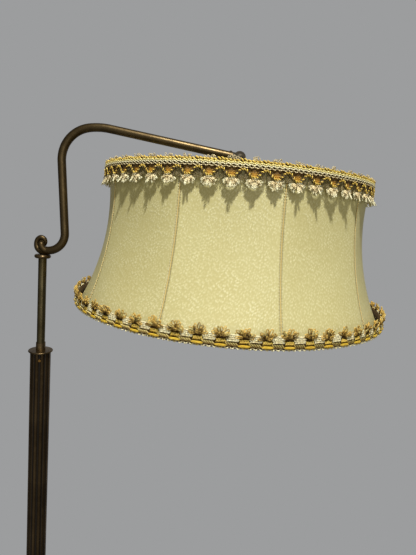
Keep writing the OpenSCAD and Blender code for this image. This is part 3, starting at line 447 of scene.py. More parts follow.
def smoothPath(knots, stepsEach):
    # Catmull-Rom curve through the knots: on each span, with t from 0 to 1,
    # (2 b + (c - a) t + (2 a - 5 b + 4 c - d) t^2 + (3 b - a - 3 c + d) t^3) / 2
    a = np.concatenate([2 * knots[:1] - knots[1:2], knots[:-2]])[:, None]
    b, c = knots[:-1, None], knots[1:, None]
    d = np.concatenate([knots[2:], 2 * knots[-1:] - knots[-2:-1]])[:, None]
    t = (np.arange(stepsEach) / stepsEach)[None, :, None]
    curve = 2 * b + (c - a) * t + (2 * a - 5 * b + 4 * c - d) * t ** 2 + (3 * b - a - 3 * c + d) * t ** 3
    return np.concatenate([curve.reshape(-1, knots.shape[1]) / 2, knots[-1:]])


def horn(part):
    # A round bar of changing thickness whose two ends close as half balls: radius * cos a, moved out by
    # radius * sin a
    line = smoothPath(np.column_stack([volute[part], volute[part + "Radii"]]), volute["stepsEach"]) * mm
    ends = np.linspace(math.pi / 2, 0, volute["endSteps"], endpoint=False)[:, None]
    back, ahead = unit(line[0, :3] - line[1, :3]), unit(line[-1, :3] - line[-2, :3])
    caps = [np.column_stack([knot[:3] + knot[3] * np.sin(ends) * way, knot[3] * np.cos(ends)])
            for knot, way in ((line[0], back), (line[-1], ahead))]
    whole = np.concatenate([caps[0], line, caps[1][::-1]])
    radius = np.maximum(whole[:, 3], volute["endRadius"])
    return tubes(whole[None, :, :3], radius, volute["sides"], np.array([0.0, -1.0, 0.0]))


makePiece("armVolute", [horn(part) for part in ("coil", "lobe", "web")], barBrass, "arm",
          ["arm_scroll"])


shade = dict(
    panels=10, seamTurn=math.radians(-2.6), upperRadius=149 * mm, curveRadius=320 * mm, waistDrop=25 * mm,
    height=152 * mm, tension=3.4 * mm, pullPower=0.8, skin=0.6 * mm, seamGap=0.4 * mm, grainShift=0.37,
    columns=48, rows=60)
ringLow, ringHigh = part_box("top_ring")
shadeX = (ringLow.x + ringHigh.x) / 2
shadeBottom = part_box("panel_01")[0].z
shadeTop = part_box("panel_01")[1].z


def faceRadius(z):
    # Radius of the vellum's face: upper + curve - sqrt(curve^2 - (z - waist)^2)
    curve = shade["curveRadius"]
    return shade["upperRadius"] + curve - np.sqrt(curve ** 2 - (z - shadeTop + shade["waistDrop"]) ** 2)


def onShade(angle, radius, z):
    # Point round the shade's upright axis: x = shadeX + radius cos angle, y = radius sin angle
    angle, radius, z = np.broadcast_arrays(angle, radius, z)
    return np.stack([shadeX + radius * np.cos(angle), radius * np.sin(angle), z], -1)


def outwardAt(angle):
    # Level direction away from the shade's axis: (cos angle, sin angle, 0)
    return np.stack([np.cos(angle), np.sin(angle), np.zeros_like(angle)], -1)


def vellumPanel(index):
    # Skin between two seams: radius = face - tension * sin(pi u) * sin(pi v)^pullPower, a closed shell whose
    # inner side is the same sheet moved in by the skin's thickness
    columns, rows = shade["columns"], shade["rows"]
    step = turn / shade["panels"]
    edge = shade["seamGap"] / shade["upperRadius"]
    u, v = np.meshgrid(np.linspace(0, 1, columns), np.linspace(0, 1, rows), indexing="ij")
    z = shadeBottom + v * (shadeTop - shadeBottom)
    across = u * (step - 2 * edge)
    angle = shade["seamTurn"] + index * step + edge + across
    pull = shade["tension"] * np.sin(math.pi * u) * np.sin(math.pi * v) ** shade["pullPower"]
    face = faceRadius(z) - pull
    points = np.concatenate([onShade(angle, face, z), onShade(angle, face - shade["skin"], z)]).reshape(-1, 3)
    i, j = np.meshgrid(np.arange(columns - 1), np.arange(rows - 1), indexing="ij")
    a = i * rows + j
    front = np.stack([a, a + rows, a + rows + 1, a + 1], -1).reshape(-1, 4)
    size = columns * rows
    rim = np.concatenate([np.arange(columns) * rows,
                          (columns - 1) * rows + np.arange(1, rows),
                          np.arange(columns - 2, -1, -1) * rows + rows - 1,
                          np.arange(rows - 2, 0, -1)])
    after = np.roll(rim, -1)
    edges = np.stack([rim, rim + size, after + size, after], -1)
    faces = np.concatenate([front, front[:, ::-1] + size, edges])
    flat = np.stack([across * shade["upperRadius"] + index * shade["grainShift"], v * shade["height"]], -1)
    flat = np.tile(flat.reshape(-1, 2), (2, 1))
    zeros = np.zeros(len(points))
    return dict(points=points, faces=[faces], uvs=[flat[faces]], tone=zeros, tip=zeros)


for index in range(shade["panels"]):
    makePiece("vellumPanel%02d" % (index + 1), [vellumPanel(index)], vellum, "shade",
              ["panel_%02d" % (index + 1)])
print("vellum panels made")


def helix(path, outward, radius, turns, ply):
    # One ply of a twisted cord: path + radius * (cos p * side + sin p * up), p = turns along the path
    tangent = unit(np.gradient(path, axis=1))
    side = unit(np.cross(tangent, outward))
    up = np.cross(side, tangent)
    phase = (turns * turn * np.linspace(0, 1, path.shape[1]) + ply * math.pi)[:, None]
    return path + radius * (np.cos(phase) * side + np.sin(phase) * up)


seamCord = dict(
    thick=0.4 * mm, offset=0.28 * mm, turns=60, rings=480, sides=6, short=0.5 * mm, proud=0.1 * mm)


def seamPiping():
    # A two-ply cord up each seam, from just above the panels' foot to just below their top
    z = np.linspace(shadeBottom + seamCord["short"], shadeTop - seamCord["short"], seamCord["rings"])
    parts = []
    for index in range(shade["panels"]):
        angle = shade["seamTurn"] + index * turn / shade["panels"]
        out = outwardAt(np.array(angle))
        path = onShade(angle, faceRadius(z) + seamCord["proud"], z)[None]
        for ply in (0, 1):
            strand = helix(path, out, seamCord["offset"], seamCord["turns"], ply)
            parts.append(tubes(strand, seamCord["thick"], seamCord["sides"], out, tone=0.5 * ply))
    return parts


stitch = dict(
    pitch=2.4 * mm, thick=0.3 * mm, near=0.55 * mm, reach=1.0 * mm, rise=0.35, foot=2 * mm, bow=0.55 * mm,
    sink=0.15 * mm, tones=5, toneStep=7, steps=6, sides=5)


def seamStitches():
    # Short threads beside each seam, one above the other, each bowed outwards by bow * sin(pi t)
    count = int(shade["height"] / stitch["pitch"]) - 1
    grids = np.meshgrid(np.arange(shade["panels"]), np.arange(count), [-1, 1], indexing="ij")
    k, s, hand = (grid.reshape(-1, 1) for grid in grids)
    t = np.linspace(0, 1, stitch["steps"])
    z = shadeBottom + stitch["foot"] + (s + stitch["rise"] * t) * stitch["pitch"]
    away = hand * (stitch["near"] + stitch["reach"] * t)
    radius = faceRadius(z) + stitch["bow"] * np.sin(math.pi * t) - stitch["sink"]
    angle = shade["seamTurn"] + k * turn / shade["panels"] + away / radius
    tone = (k * stitch["toneStep"] + s) % stitch["tones"] / stitch["tones"]
    return [tubes(onShade(angle, radius, z), stitch["thick"], stitch["sides"], outwardAt(angle), tone=tone)]


def trim(name, parts, material, slot, *replaced):
    # A piece of the shade's soft trim
    makePiece(name, parts, material, "shade", replaced)


trim("seamPiping", seamPiping(), pipingYarn, "piping", "seam_piping")
trim("seamStitches", seamStitches(), stitchThread, "piping")
print("seams made")


# Trims repeat round the shade, each band from its own level, and their sizes are in millimetres: s runs to
# the right, o outwards and h up. A pair is a range, from which every repeat draws its own value
rng = np.random.default_rng(11)


def drawn(k, limits):
    # An even draw between two limits for each repeat
    return rng.uniform(*limits, len(k))


def stray(k, amount):
    # A draw from the bell curve about zero for each repeat
    return rng.normal(0, amount, len(k))


def sizes(k, form):
    # Draws of a loop's length, width and bulge
    return [drawn(k, form[key]) for key in ("lengths", "widths", "bulges")]


def every(band, each):
    # Numbers of the repeats, each given 'each' times, and the place within the repeat
    return np.repeat(np.arange(band["count"]), each), np.tile(np.arange(each), band["count"])


def pitch(band):
    # Angle of one repeat
    return turn / band["count"]


def span(band, off):
    # Length of one repeat, pitch * (inner + off)
    return pitch(band) * (band["inner"] / mm + off)


def around(band, k, off, s, o, h):
    # A repeat's own measures put round the shade: radius = inner + off, distance = radius + o,
    # angle = start + k * pitch + s / radius, height = level + h
    radius = band["inner"] + off * mm
    angle = band["start"] + k[:, None] * pitch(band) + s * mm / radius
    return onShade(angle, radius + o * mm, band["level"] + h * mm), outwardAt(angle)


def columnsOf(k, values):
    # Each value as one column with a row for each repeat
    return (np.broadcast_to(value, len(k))[:, None] for value in values)


def loops(band, k, base, lean, length, width, bulge, form):
    # Each loop runs out and back like a petal: along = length * sin(pi t), across = width / 2 * sin(turn t),
    # leaning from straight up by its own angle, and bulging outwards by bulge * sin(pi t)
    t = np.linspace(0.0, 1.0, form["steps"])
    wave = np.sin(math.pi * t)
    s, o, h, lean, length, width, bulge = columnsOf(k, (*base, lean, length, width, bulge))
    along, across = length * wave, width / 2 * np.sin(turn * t)
    paths, outward = around(band, k, form["off"], s + along * np.sin(lean) + across * np.cos(lean),
                            o + bulge * wave + form["tuck"] * np.cos(turn * t),
                            h + along * np.cos(lean) - across * np.sin(lean))
    part = tubes(paths, form["thick"] * mm, form["sides"], outward, tone=rng.random(len(k)))
    # tip is 0 at the root and 1 at the loop's far end; the yarn paints shade where it is low
    part["tip"] = np.broadcast_to(wave[None, :, None], part["tip"].shape)
    return part


def tufted(band, k, height, form, hand=1):
    # Loops strewn about a height, on the left or right where hand is -1 or 1
    base = (hand * drawn(k, form["feet"]), drawn(k, form["depths"]), height + drawn(k, form["heights"]))
    return loops(band, k, base, hand * drawn(k, form["leans"]), *sizes(k, form), form)


def spindles(band, k, left, right, form, tone=None):
    # A bar between two points (s, o, h), thickest in the middle: thick * (1 - 0.7 * |2 t - 1|^blunt)
    t = np.linspace(0, 1, form["steps"])
    s, o, h = (a + (b - a) * t for a, b in zip(columnsOf(k, left), columnsOf(k, right)))
    paths, outward = around(band, k, form["off"], s, o, h)
    thick = form["thick"] * mm * (1 - 0.7 * np.abs(2 * t - 1) ** form.get("blunt", 2))
    tone = rng.random(len(k)) if tone is None else tone
    return [tubes(paths, thick, form["sides"], outward, tone=tone, squash=form.get("squash", 1.0))]


def rungs(band, form, height=0.0):
    # Bars over the middle of each repeat, one above the other. Each of bars gives a half width, a place
    # outwards and a height, and tilt is how far the right end stands over that height
    k, n = every(band, len(form["bars"]))
    half, o, h = np.array(form["bars"])[n].T
    tilt = form.get("tilt", 0.0)
    tone = np.array(form["tones"])[n] if "tones" in form else None
    return spindles(band, k, (-half, o, height + h - tilt), (half, o, height + h + tilt), form, tone)


def leaning(s, o, h, half, lean):
    # Both ends of a bar through (s, h): half to each side along (cos lean, sin lean)
    across, rise = half * np.cos(lean), half * np.sin(lean)
    return (s - across, o, h - rise), (s + across, o, h + rise)


def lap(band, form):
    # Angles of one turn round the shade, with stepsEach to a repeat
    steps = band["count"] * form["stepsEach"]
    return np.arange(steps) * turn / steps


def hoop(band, angle, o, h, form):
    # A closed cord round the shade, whose place outwards and height vary with the angle
    path = onShade(band["start"] + angle, band["inner"] + (form["off"] + o) * mm, band["level"] + h * mm)
    outward = outwardAt(band["start"] + angle)
    return [tubes(path[None], form["thick"] * mm, form["sides"], outward, closed=True, tone=0.5)]


def ribbon(band):
    # The ribbon that carries a trim: its profile of (o, h) turned about the shade's axis
    profile = [(band["inner"] + o * mm, band["level"] + h * mm) for o, h in band["profile"]]
    return [revolve(profile, shadeX, band["count"] * 8)]


top = dict(
    count=50, start=math.radians(0.5), level=shadeTop + 2 * mm,
    inner=faceRadius(shadeTop) + 1.1 * mm,
    profile=[(0, -9), (0.55, -8.7), (1.1, -7), (1.1, -2), (0.88, -0.5), (0.33, 0), (0, -0.3)])
edgeWrap = dict(
    each=6, off=1.9, out=-0.2, height=-1.1, heightStray=0.1, lean=-0.42, leanStray=0.1, half=1.9,
    beside=3.2, archLean=-0.2, archHalf=0.3, archRise=0.7, steps=7, thick=0.8, sides=6)


def edgeWraps():
    # Gold wraps along the upper edge, slanting down to the right, and taller in a pair over each arch
    k, n = every(top, edgeWrap["each"])
    width = span(top, edgeWrap["off"])
    s = ((n + 0.5) / edgeWrap["each"] - 0.5) * width
    over = np.where(np.abs(s) > width / edgeWrap["beside"], 1.0, 0.0)
    lean = edgeWrap["lean"] + edgeWrap["archLean"] * over + stray(k, edgeWrap["leanStray"])
    half = edgeWrap["half"] + edgeWrap["archHalf"] * over
    h = edgeWrap["height"] + edgeWrap["archRise"] * over + stray(k, edgeWrap["heightStray"])
    return spindles(top, k, *leaning(s, edgeWrap["out"], h, half, lean), edgeWrap)


row = dict(off=edgeWrap["off"], wavesEach=4, stepsEach=32, sway=0.15, sides=6)


def wavyRow(depth, out, swing, thick, phase=0.0):
    # A cord that goes once round, with x = waves * angle + phase: o = out - sway * sin x,
    # h = swing * sin x - depth
    angle = lap(top, row)
    wave = np.sin(top["count"] * row["wavesEach"] * angle + phase)
    return hoop(top, angle, out - row["sway"] * wave, swing * wave - depth, dict(row, thick=thick))


# The ribbon's dark colour is painted shade seen between the cords
trim("topBandCore", ribbon(top), darkShadeBacking, "gold_yarn", "top_braid")
trim("edgeWraps", edgeWraps(), goldYarn, "gold_yarn")
trim("topRowPale", wavyRow(depth=2.8, out=0.2, swing=0.45, thick=0.66), paleGoldYarn, "gold_yarn")
trim("topRowCream", wavyRow(depth=4.4, out=0.45, swing=0.55, thick=0.58), creamYarn, "cream_yarn")
trim("topRowFine", wavyRow(depth=6.3, out=0.25, swing=0.48, thick=0.48, phase=2.0), beigeYarn, "cream_yarn")
print("top rows made")


scallop = dict(
    middle=11.2, swing=3.1, flatten=0.1, off=2.5, each=9, half=1.55, out=0.15, slant=math.radians(-38),
    slantStray=0.08, reach=0.1, steps=7, thick=0.66, sides=6)
scallopLine = dict(off=scallop["off"], stepsEach=24, thick=0.45, sides=6)


def scallopDepth(s):
    # How far the arched line lies below the edge at a distance s from its low, with flattened turns:
    # middle + swing * (cos x - flatten * cos 3x) / (1 - flatten), x = turn * s / span
    x = turn * s / span(top, scallop["off"])
    flatten = scallop["flatten"]
    return scallop["middle"] + scallop["swing"] * (np.cos(x) - flatten * np.cos(3 * x)) / (1 - flatten)


def scallopCore():
    # The arched line's core, painted dark as the shade seen in the gaps between its wraps
    angle = lap(top, scallopLine)
    return hoop(top, angle, 0.0, -scallopDepth(angle / pitch(top) * span(top, scallop["off"])), scallopLine)


def scallopBeads():
    # Bright wraps along the arched line, each turned from the line's own slope by the slant
    k, n = every(top, scallop["each"])
    s = ((n + 0.5) / scallop["each"] - 0.5) * span(top, scallop["off"])
    reach = scallop["reach"]
    slope = np.arctan((scallopDepth(s - reach) - scallopDepth(s + reach)) / (2 * reach))
    lean = slope + scallop["slant"] + stray(k, scallop["slantStray"])
    return spindles(top, k, *leaning(s, scallop["out"], -scallopDepth(s), scallop["half"], lean), scallop)


trim("scallopCore", scallopCore(), orangeShadeBacking, "gold_yarn", "scallop_cord")
trim("scallopBeads", scallopBeads(), goldYarn, "gold_yarn")
print("scallop cord made")


tassel = dict(
    each=12, off=2.6, height=-16.4, heightStray=0.2, spread=math.radians(72), spreadStray=0.09, foot=1.8,
    depths=(-1.6, -0.2), edgeDepth=0.8, length=7.6, lengths=(0.86, 1.06), shorter=0.2, width=1.15,
    widths=(0.7, 1.25), bulges=(0.4, 6.6), bulgeWidth=0.42, tuck=0.25, steps=11, thick=0.46, sides=5)
curl = dict(
    eachSide=3, off=tassel["off"], feet=(2.6, 4.8), depths=(-2.2, -1.4), heights=(-3.6, 0.4),
    leans=(1.0, 2.6), lengths=(1.8, 2.8), widths=(1.4, 2.2), bulges=(0.0, 0.4), tuck=0.3, steps=10,
    thick=tassel["thick"], sides=4)


def tasselLoops():
    # A fan of looped strands hanging from the tie, flanked by short curls. The middle ones are longest:
    # length * (1 - shorter * |fan|^1.5)
    k, n = every(top, tassel["each"])
    fan = (n / (tassel["each"] - 1) - 0.5) * 2
    lean = math.pi - fan * tassel["spread"] + stray(k, tassel["spreadStray"])
    length = tassel["length"] * (1 - tassel["shorter"] * np.abs(fan) ** 1.5) * drawn(k, tassel["lengths"])
    base = (fan * tassel["foot"], drawn(k, tassel["depths"]) - tassel["edgeDepth"] * np.abs(fan),
            tassel["height"] + stray(k, tassel["heightStray"]))
    width = tassel["width"] * drawn(k, tassel["widths"])
    bulge = np.maximum(0, 1 - (fan / tassel["bulgeWidth"]) ** 2) * drawn(k, tassel["bulges"])
    strands = loops(top, k, base, lean, length, width, bulge, tassel)
    k, n = every(top, 2 * curl["eachSide"])
    return [strands, tufted(top, k, tassel["height"], curl, np.where(n < curl["eachSide"], -1, 1))]


# Two pale wraps that gather each tassel under the scallop's low
tie = dict(
    off=tassel["off"], bars=[(3.2, 1.1, 0.85), (2.7, 1.1, -0.25)], tilt=0.25, steps=6, thick=0.34, sides=5)
heart = dict(
    each=5, off=tassel["off"], lean=0.5, foot=1.5, footOut=-1.4, footRise=0.8, reach=5.2, out=0.2, steps=6,
    thick=1.1, sides=6)


def tasselHearts():
    # Beige strands behind each tassel that close its gaps: a fan of bars from the tie
    k, n = every(top, heart["each"])
    side = n - (heart["each"] - 1) / 2
    lean = side * heart["lean"]
    left = (heart["foot"] * side, heart["footOut"], tassel["height"] + heart["footRise"])
    right = (heart["reach"] * np.sin(lean), heart["out"], tassel["height"] - heart["reach"] * np.cos(lean))
    return spindles(top, k, left, right, heart)


arch = dict(
    eachSide=4, off=0.7, first=4.6, step=1.0, rise=0.4, low=17.6, depths=(-0.3, 0.3), leans=(-0.3, 0.1),
    lengths=(0.85, 1.05), widths=(1.0, 1.7), bulges=(0.1, 0.6), tuck=0.15, steps=10, thick=0.32, sides=4)


def archLoops():
    # Dull loops that hang from both flanks of each scallop, behind the cord, and frame the tassel
    k, n = every(top, 2 * arch["eachSide"])
    hand = np.where(n < arch["eachSide"], -1, 1)
    s = arch["first"] + arch["step"] * (n % arch["eachSide"])
    base = (hand * s, drawn(k, arch["depths"]), arch["rise"] - scallopDepth(s))
    lean = math.pi + hand * drawn(k, arch["leans"])
    length, width, bulge = sizes(k, arch)
    return [loops(top, k, base, lean, (arch["low"] - scallopDepth(s)) * length, width, bulge, arch)]


# Satin bars across each scallop, behind the cord: golden at its low, with painted shade making the upper ones
# dark
satin = dict(
    off=0.8,
    bars=[(2.8, 0.2, -12.9), (3.7, 0.2, -11.5), (4.2, 0.2, -10.1), (5.0, 0.2, -8.8), (6.5, 0.2, -7.6)],
    tones=[1.0, 0.75, 0.25, 0.0, 0.0], squash=0.6, steps=7, thick=0.98, sides=6)
fringe = dict(
    each=8, off=1.6, feet=(-3.4, 3.4), depths=(-1.2, 0.4), height=-0.8, leanOver=6, leanStray=0.35,
    lengths=(1.8, 3.8), widths=(1.0, 2.2), bulges=(-0.5, 0.9), tuck=0.0, steps=9, thick=0.3, sides=4)


def topFringe():
    # Fine beige loops that stand up over each tassel and lean away from its middle by s / leanOver
    k = every(top, fringe["each"])[0]
    base = (drawn(k, fringe["feet"]), drawn(k, fringe["depths"]), fringe["height"])
    lean = base[0] / fringe["leanOver"] + stray(k, fringe["leanStray"])
    return [loops(top, k, base, lean, *sizes(k, fringe), fringe)]


trim("topTassels", tasselLoops(), tasselYarn, "cream_yarn", "top_tassels")
trim("tasselTies", rungs(top, tie, tassel["height"]), tasselYarn, "cream_yarn")
trim("tasselHearts", tasselHearts(), beigeYarn, "cream_yarn")
trim("archLoops", archLoops(), greyYarn, "cream_yarn")
trim("scallopSatin", rungs(top, satin), shadedSatin, "gold_yarn")
trim("topFringe", topFringe(), beigeYarn, "cream_yarn")
print("top trim made")


hem = dict(
    count=58, start=math.radians(1.3), level=shadeBottom - 1.5 * mm,
    inner=faceRadius(shadeBottom) + 1.4 * mm,
    profile=[(0, 0.6), (0.98, 0.3), (2.1, 1.2), (1.96, 5), (1.4, 10.5), (0.7, 11.6), (0, 11.2)])
between = span(hem, 0) / 2
coil = dict(
    each=5, off=4.0, step=2.1, height=4.5, heightStray=0.1, outStray=0.06, half=2.0, rise=1.9, upperOut=0.2,
    lowerOut=-1.4, blunt=4, steps=8, thick=0.58, sides=6)


def hemCoils():
    # Slanting wraps between the bars, proud at the upper left and sunk at the lower right, with painted shade
    # darkening each wrap towards its lower end
    k, n = every(hem, coil["each"])
    s = between + (n - 2) * coil["step"]
    h = coil["height"] + stray(k, coil["heightStray"])
    o = stray(k, coil["outStray"])
    lower = (s + coil["half"], o + coil["lowerOut"], h - coil["rise"])
    upper = (s - coil["half"], o + coil["upperOut"], h + coil["rise"])
    return spindles(hem, k, lower, upper, coil)


# A satin bar under each tuft
bar = dict(off=3.8, bars=[(5.2, 0.0, 3.5)], squash=0.85, blunt=5, steps=12, thick=1.34, sides=8)
strut = dict(
    pairs=4, off=2.0, step=2.0, closer=0.1, height=6.9, heightStray=0.12, out=1.0, outWay=0.25,
    footReach=1.3, headReach=0.9, foot=-1.5, head=1.9, headOut=-0.4, steps=7, thick=0.6, sides=6)


def hemStruts():
    # Gold strands over each bar that cross like a net, so that small dark holes stay between them
    k, n = every(hem, 2 * strut["pairs"])
    way = np.where(n % 2 == 0, 1, -1)
    s = (n // 2 - (strut["pairs"] - 1) / 2) * strut["step"] * (1 - strut["closer"] * way)
    h = strut["height"] + stray(k, strut["heightStray"])
    o = strut["out"] + strut["outWay"] * way
    return spindles(hem, k, (s - strut["footReach"] * way, o, h + strut["foot"]),
                    (s + strut["headReach"] * way, o + strut["headOut"], h + strut["head"]), strut)


weave = dict(
    rows=4, off=1.7, height=11.7, step=1.5, half=5.8, narrower=0.5, arch=0.5, waves=3, swing=0.45,
    rowOut=0.3, crown=0.4, ripple=0.25, steps=17, thick=0.74, sides=6)


def hemWeave():
    # Cream threads in wavy rows between the tufts, hung in a shallow arch, with t from -1 to 1:
    # h falls by step a row, plus arch * (1 - t^2) + swing * sin(waves * turn * t),
    # and o = rowOut a row, plus crown * (1 - t^2) + ripple * cos(2 * waves * turn * t)
    k, n = every(hem, weave["rows"])
    order = n[:, None]
    t = np.linspace(-1, 1, weave["steps"])
    wave = weave["waves"] * turn * t
    s = between + t * (weave["half"] - weave["narrower"] * np.abs(order - 1))
    h = (weave["height"] - weave["step"] * order + weave["arch"] * (1 - t ** 2)
         + weave["swing"] * np.sin(wave + order * math.pi))
    o = weave["rowOut"] * order + weave["crown"] * (1 - t ** 2) + weave["ripple"] * np.cos(2 * wave)
    paths, outward = around(hem, k, weave["off"], s, o, h)
    return [tubes(paths, weave["thick"] * mm, weave["sides"], outward, tone=rng.random(len(k)))]


glint = dict(
    each=3, off=weave["off"], step=2.2, sideStray=0.4, height=7.4, middleRise=0.5, out=1.4, half=0.7,
    leftRise=0.9, rightDrop=0.7, steps=6, thick=0.5, sides=5)


def weaveGlints():
    # Short yellow threads that lie across the lower middle of each woven block
    k, n = every(hem, glint["each"])
    s = between + (n - 1) * glint["step"] + stray(k, glint["sideStray"])
    h = glint["height"] + glint["middleRise"] * (n % 2)
    return spindles(hem, k, (s - glint["half"], glint["out"], h + glint["leftRise"]),
                    (s + glint["half"], glint["out"], h - glint["rightDrop"]), glint)


picot = dict(each=4, stepsEach=32, off=2.6, outSwing=0.9, height=1.5, swing=0.55, thick=0.58, sides=5)


def hemPicots():
    # The lowest cord, whose dips show as a row of beads: o = outSwing * cos x, h = height - swing * cos x,
    # with x = beads * angle
    angle = lap(hem, picot)
    beat = np.cos(hem["count"] * picot["each"] * angle)
    return hoop(hem, angle, picot["outSwing"] * beat, picot["height"] - picot["swing"] * beat, picot)


tuft = dict(
    each=11, off=2.0, height=11.2, spread=math.radians(94), spreadStray=0.12, foot=1.0, depths=(-0.8, 0.8),
    length=8.4, lengths=(0.78, 1.1), shorter=0.12, width=2.1, widths=(0.7, 1.2), bulges=(-0.2, 2.0),
    tuck=0.3, steps=11, thick=0.46, sides=5)
petal = dict(
    each=7, off=tuft["off"], feet=(-2.8, 2.8), depths=(0.6, 1.6), heights=(-1.6, 2.6), leans=(-1.2, 1.2),
    lengths=(2.6, 4.6), widths=(1.2, 2.0), bulges=(0.8, 2.2), tuck=0.3, steps=9, thick=0.414, sides=4)


def tuftLoops():
    # A flower of looped yarn: petals fan from the root, and shorter ones lie in front across the middle
    k, n = every(hem, tuft["each"])
    fan = (n / (tuft["each"] - 1) - 0.5) * 2
    lean = fan * tuft["spread"] + stray(k, tuft["spreadStray"])
    length = tuft["length"] * (1 - tuft["shorter"] * np.abs(fan)) * drawn(k, tuft["lengths"])
    base = (fan * tuft["foot"], drawn(k, tuft["depths"]), tuft["height"])
    flower = loops(hem, k, base, lean, length, tuft["width"] * drawn(k, tuft["widths"]),
                   drawn(k, tuft["bulges"]), tuft)
    return [flower, tufted(hem, every(hem, petal["each"])[0], tuft["height"], petal)]


tuftTip = dict(
    each=2, off=tuft["off"], leans=(-1.5, 1.5), feet=(-1.0, 1.0), depths=(0.2, 1.2), rise=0.8,
    lengths=(6.0, 8.4), widths=(1.0, 1.8), bulges=(0.6, 2.4), tuck=0.2, steps=10, thick=0.34, sides=4)


def tuftTips():
    # A few pale loops among each tuft's petals
    k = every(hem, tuftTip["each"])[0]
    lean = drawn(k, tuftTip["leans"])
    base = (drawn(k, tuftTip["feet"]), drawn(k, tuftTip["depths"]), tuft["height"] + tuftTip["rise"])
    return [loops(hem, k, base, lean, *sizes(k, tuftTip), tuftTip)]


# Wraps at the foot of each tuft, and more behind its petals, each sunk deeper than the last, coloured dark as
# painted shade at the tuft's heart
root = dict(
    off=tuft["off"],
    bars=[(2.4, 0.5, -1.1), (3.0, 0.15, -0.15), (3.2, -0.2, 0.8), (3.0, -0.55, 1.75), (2.2, -0.9, 2.7)],
    steps=6, thick=0.66, sides=5)

# The ribbon's dark colour is painted shade seen between the cords
trim("hemCore", ribbon(hem), darkShadeBacking, "gold_yarn", "bottom_braid")
trim("hemCoils", hemCoils(), ropeYarn, "gold_yarn")
trim("hemBars", rungs(hem, bar), satinYarn, "gold_yarn")
trim("hemStruts", hemStruts(), goldYarn, "gold_yarn")
trim("hemWeave", hemWeave(), creamYarn, "cream_yarn")
trim("weaveGlints", weaveGlints(), goldYarn, "gold_yarn")
trim("hemPicots", hemPicots(), creamYarn, "cream_yarn")
trim("bottomTufts", tuftLoops(), brownYarn, "brown_yarn", "bottom_tufts")
trim("tuftTips", tuftTips(), paleGoldYarn, "cream_yarn")
trim("tuftRoots", rungs(hem, root, tuft["height"]), darkShadeBacking, "brown_yarn")
print("bottom trim made")


studio = dict(
    background=lightOf((156, 157, 158)), ambient=0.24, ambientTint=(1.0, 0.93, 0.66, 1.0), glossSides=0.12,
    glossFront=0.88, floor=lightOf((204, 204, 204)), floorRoughness=0.9, floorSize=1.6,
    floorClear=(0.45, 0.95), floorSteps=96, floorDrop=0.2 * mm, keyPlace=(0.25, -0.56, 2.2),
    keyAim=(0.234, -0.1, 1.37), keySize=0.065, keyPower=11.9, fillPlace=(1.0, -2.2, 1.6), fillSize=1.6,
    fillPower=8.0, upward=(0.0, 0.01, 1.0))


def makeWorld():
    # Even light on the object. The camera and glass see the plain backdrop colour, and gloss sees it darker
    # towards the sides: share = glossSides + glossFront * y * y, with y the direction's part along Y
    world = bpy.data.worlds.new("studio")
    bpy.context.scene.world = world
    world.use_nodes = True
    tree = world.node_tree
    tree.nodes.clear()
    rays = addNode(tree, "LightPath").outputs
    aim = addNode(tree, "SeparateXYZ", {0: addNode(tree, "TexCoord").outputs["Generated"]})
    square = times(aim.outputs[1], aim.outputs[1])
    share = timesPlus(square, studio["glossFront"], studio["glossSides"])
    skies = ("ambientTint", studio["ambient"]), ("background", 1.0), ("background", share)
    light, seenSky, glossSky = (
        addNode(tree, "Background", {"Color": studio[colour], "Strength": strength}).outputs[0]
        for colour, strength in skies)
    seen = calc("MAXIMUM", rays["Is Camera Ray"], rays["Is Transmission Ray"])
    plain = addNode(tree, "MixShader", {0: seen, 1: light, 2: seenSky}).outputs[0]
    mixed = addNode(tree, "MixShader", {0: rays["Is Glossy Ray"], 1: plain, 2: glossSky}).outputs[0]
    addNode(tree, "OutputWorld", {"Surface": mixed})


def areaLamp(name, location, size, power):
    # A square lamp that looks at the aim: its own Z is (location - aim) / distance
    lamp = bpy.data.lights.new(name, "AREA")
    lamp.size = size
    lamp.energy = power
    holder = bpy.data.objects.new(name, lamp)
    bpy.context.scene.collection.objects.link(holder)
    back = unit(np.array(location) - np.array(studio["keyAim"]))
    side = unit(np.cross(studio["upward"], back))
    rows = np.stack([side, np.cross(back, side), back], 1)
    holder.location = location
    holder.rotation_euler = Matrix(rows.tolist()).to_euler()


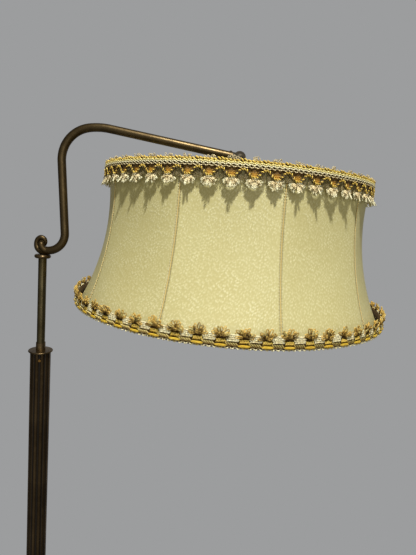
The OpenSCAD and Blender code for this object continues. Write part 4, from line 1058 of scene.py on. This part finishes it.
def makeFloor():
    # A round floor, x = R cos a, y = R sin a on the ground, that clears away towards its rim
    steps, reach = studio["floorSteps"], studio["floorSize"]
    angle = np.arange(steps) * turn / steps
    rim = np.stack([reach * np.cos(angle), reach * np.sin(angle), np.full(steps, -studio["floorDrop"])], -1)
    mesh = bpy.data.meshes.new("floor")
    mesh.from_pydata(rim.tolist(), [], [list(range(steps))])
    material = bpy.data.materials.new("floor")
    material.use_nodes = True
    tree = material.node_tree
    shader = tree.nodes["Principled BSDF"]
    shader.inputs["Base Color"].default_value = studio["floor"]
    shader.inputs["Roughness"].default_value = studio["floorRoughness"]
    spot = addNode(tree, "TexCoord").outputs["Object"]
    away = addNode(tree, "VectorMath", {0: spot}, operation="LENGTH").outputs["Value"]
    near, far = studio["floorClear"]
    fade = addNode(tree, "MapRange", {"Value": away, "From Min": far, "From Max": near},
                   interpolation_type="SMOOTHERSTEP").outputs[0]
    tree.links.new(fade, shader.inputs["Alpha"])
    mesh.materials.append(material)
    floor = bpy.data.objects.new("floor", mesh)
    bpy.context.scene.collection.objects.link(floor)


view = dict(
    place=(0.224153, -0.51028, 1.400235), lens=27.05, sensor=36, clipStart=0.01, yaw=-1.798, pitch=8.342,
    roll=-4.611)


def makeCamera():
    # Forward = (sin yaw cos pitch, cos yaw cos pitch, -sin pitch), then turned about itself by roll
    yaw, pitch, roll = (math.radians(view[key]) for key in ("yaw", "pitch", "roll"))
    forward = np.array([math.sin(yaw) * math.cos(pitch), math.cos(yaw) * math.cos(pitch), -math.sin(pitch)])
    right = np.array([math.cos(yaw), -math.sin(yaw), 0.0])
    down = np.cross(forward, right)
    rightRolled = math.cos(roll) * right + math.sin(roll) * down
    downRolled = -math.sin(roll) * right + math.cos(roll) * down
    data = bpy.data.cameras.new("camera")
    data.lens = view["lens"]
    data.sensor_width = view["sensor"]
    data.sensor_fit = "AUTO"
    data.clip_start = view["clipStart"]
    camera = bpy.data.objects.new("camera", data)
    bpy.context.scene.collection.objects.link(camera)
    rows = np.stack([rightRolled, -downRolled, -forward], 1)
    camera.matrix_world = Matrix.Translation(view["place"]) @ Matrix(rows.tolist()).to_4x4()
    bpy.context.scene.camera = camera


makeWorld()
areaLamp("key", studio["keyPlace"], studio["keySize"], studio["keyPower"])
areaLamp("fill", studio["fillPlace"], studio["fillSize"], studio["fillPower"])
makeFloor()
makeCamera()
bpy.context.scene.view_settings.view_transform = "Standard"
print("studio made")
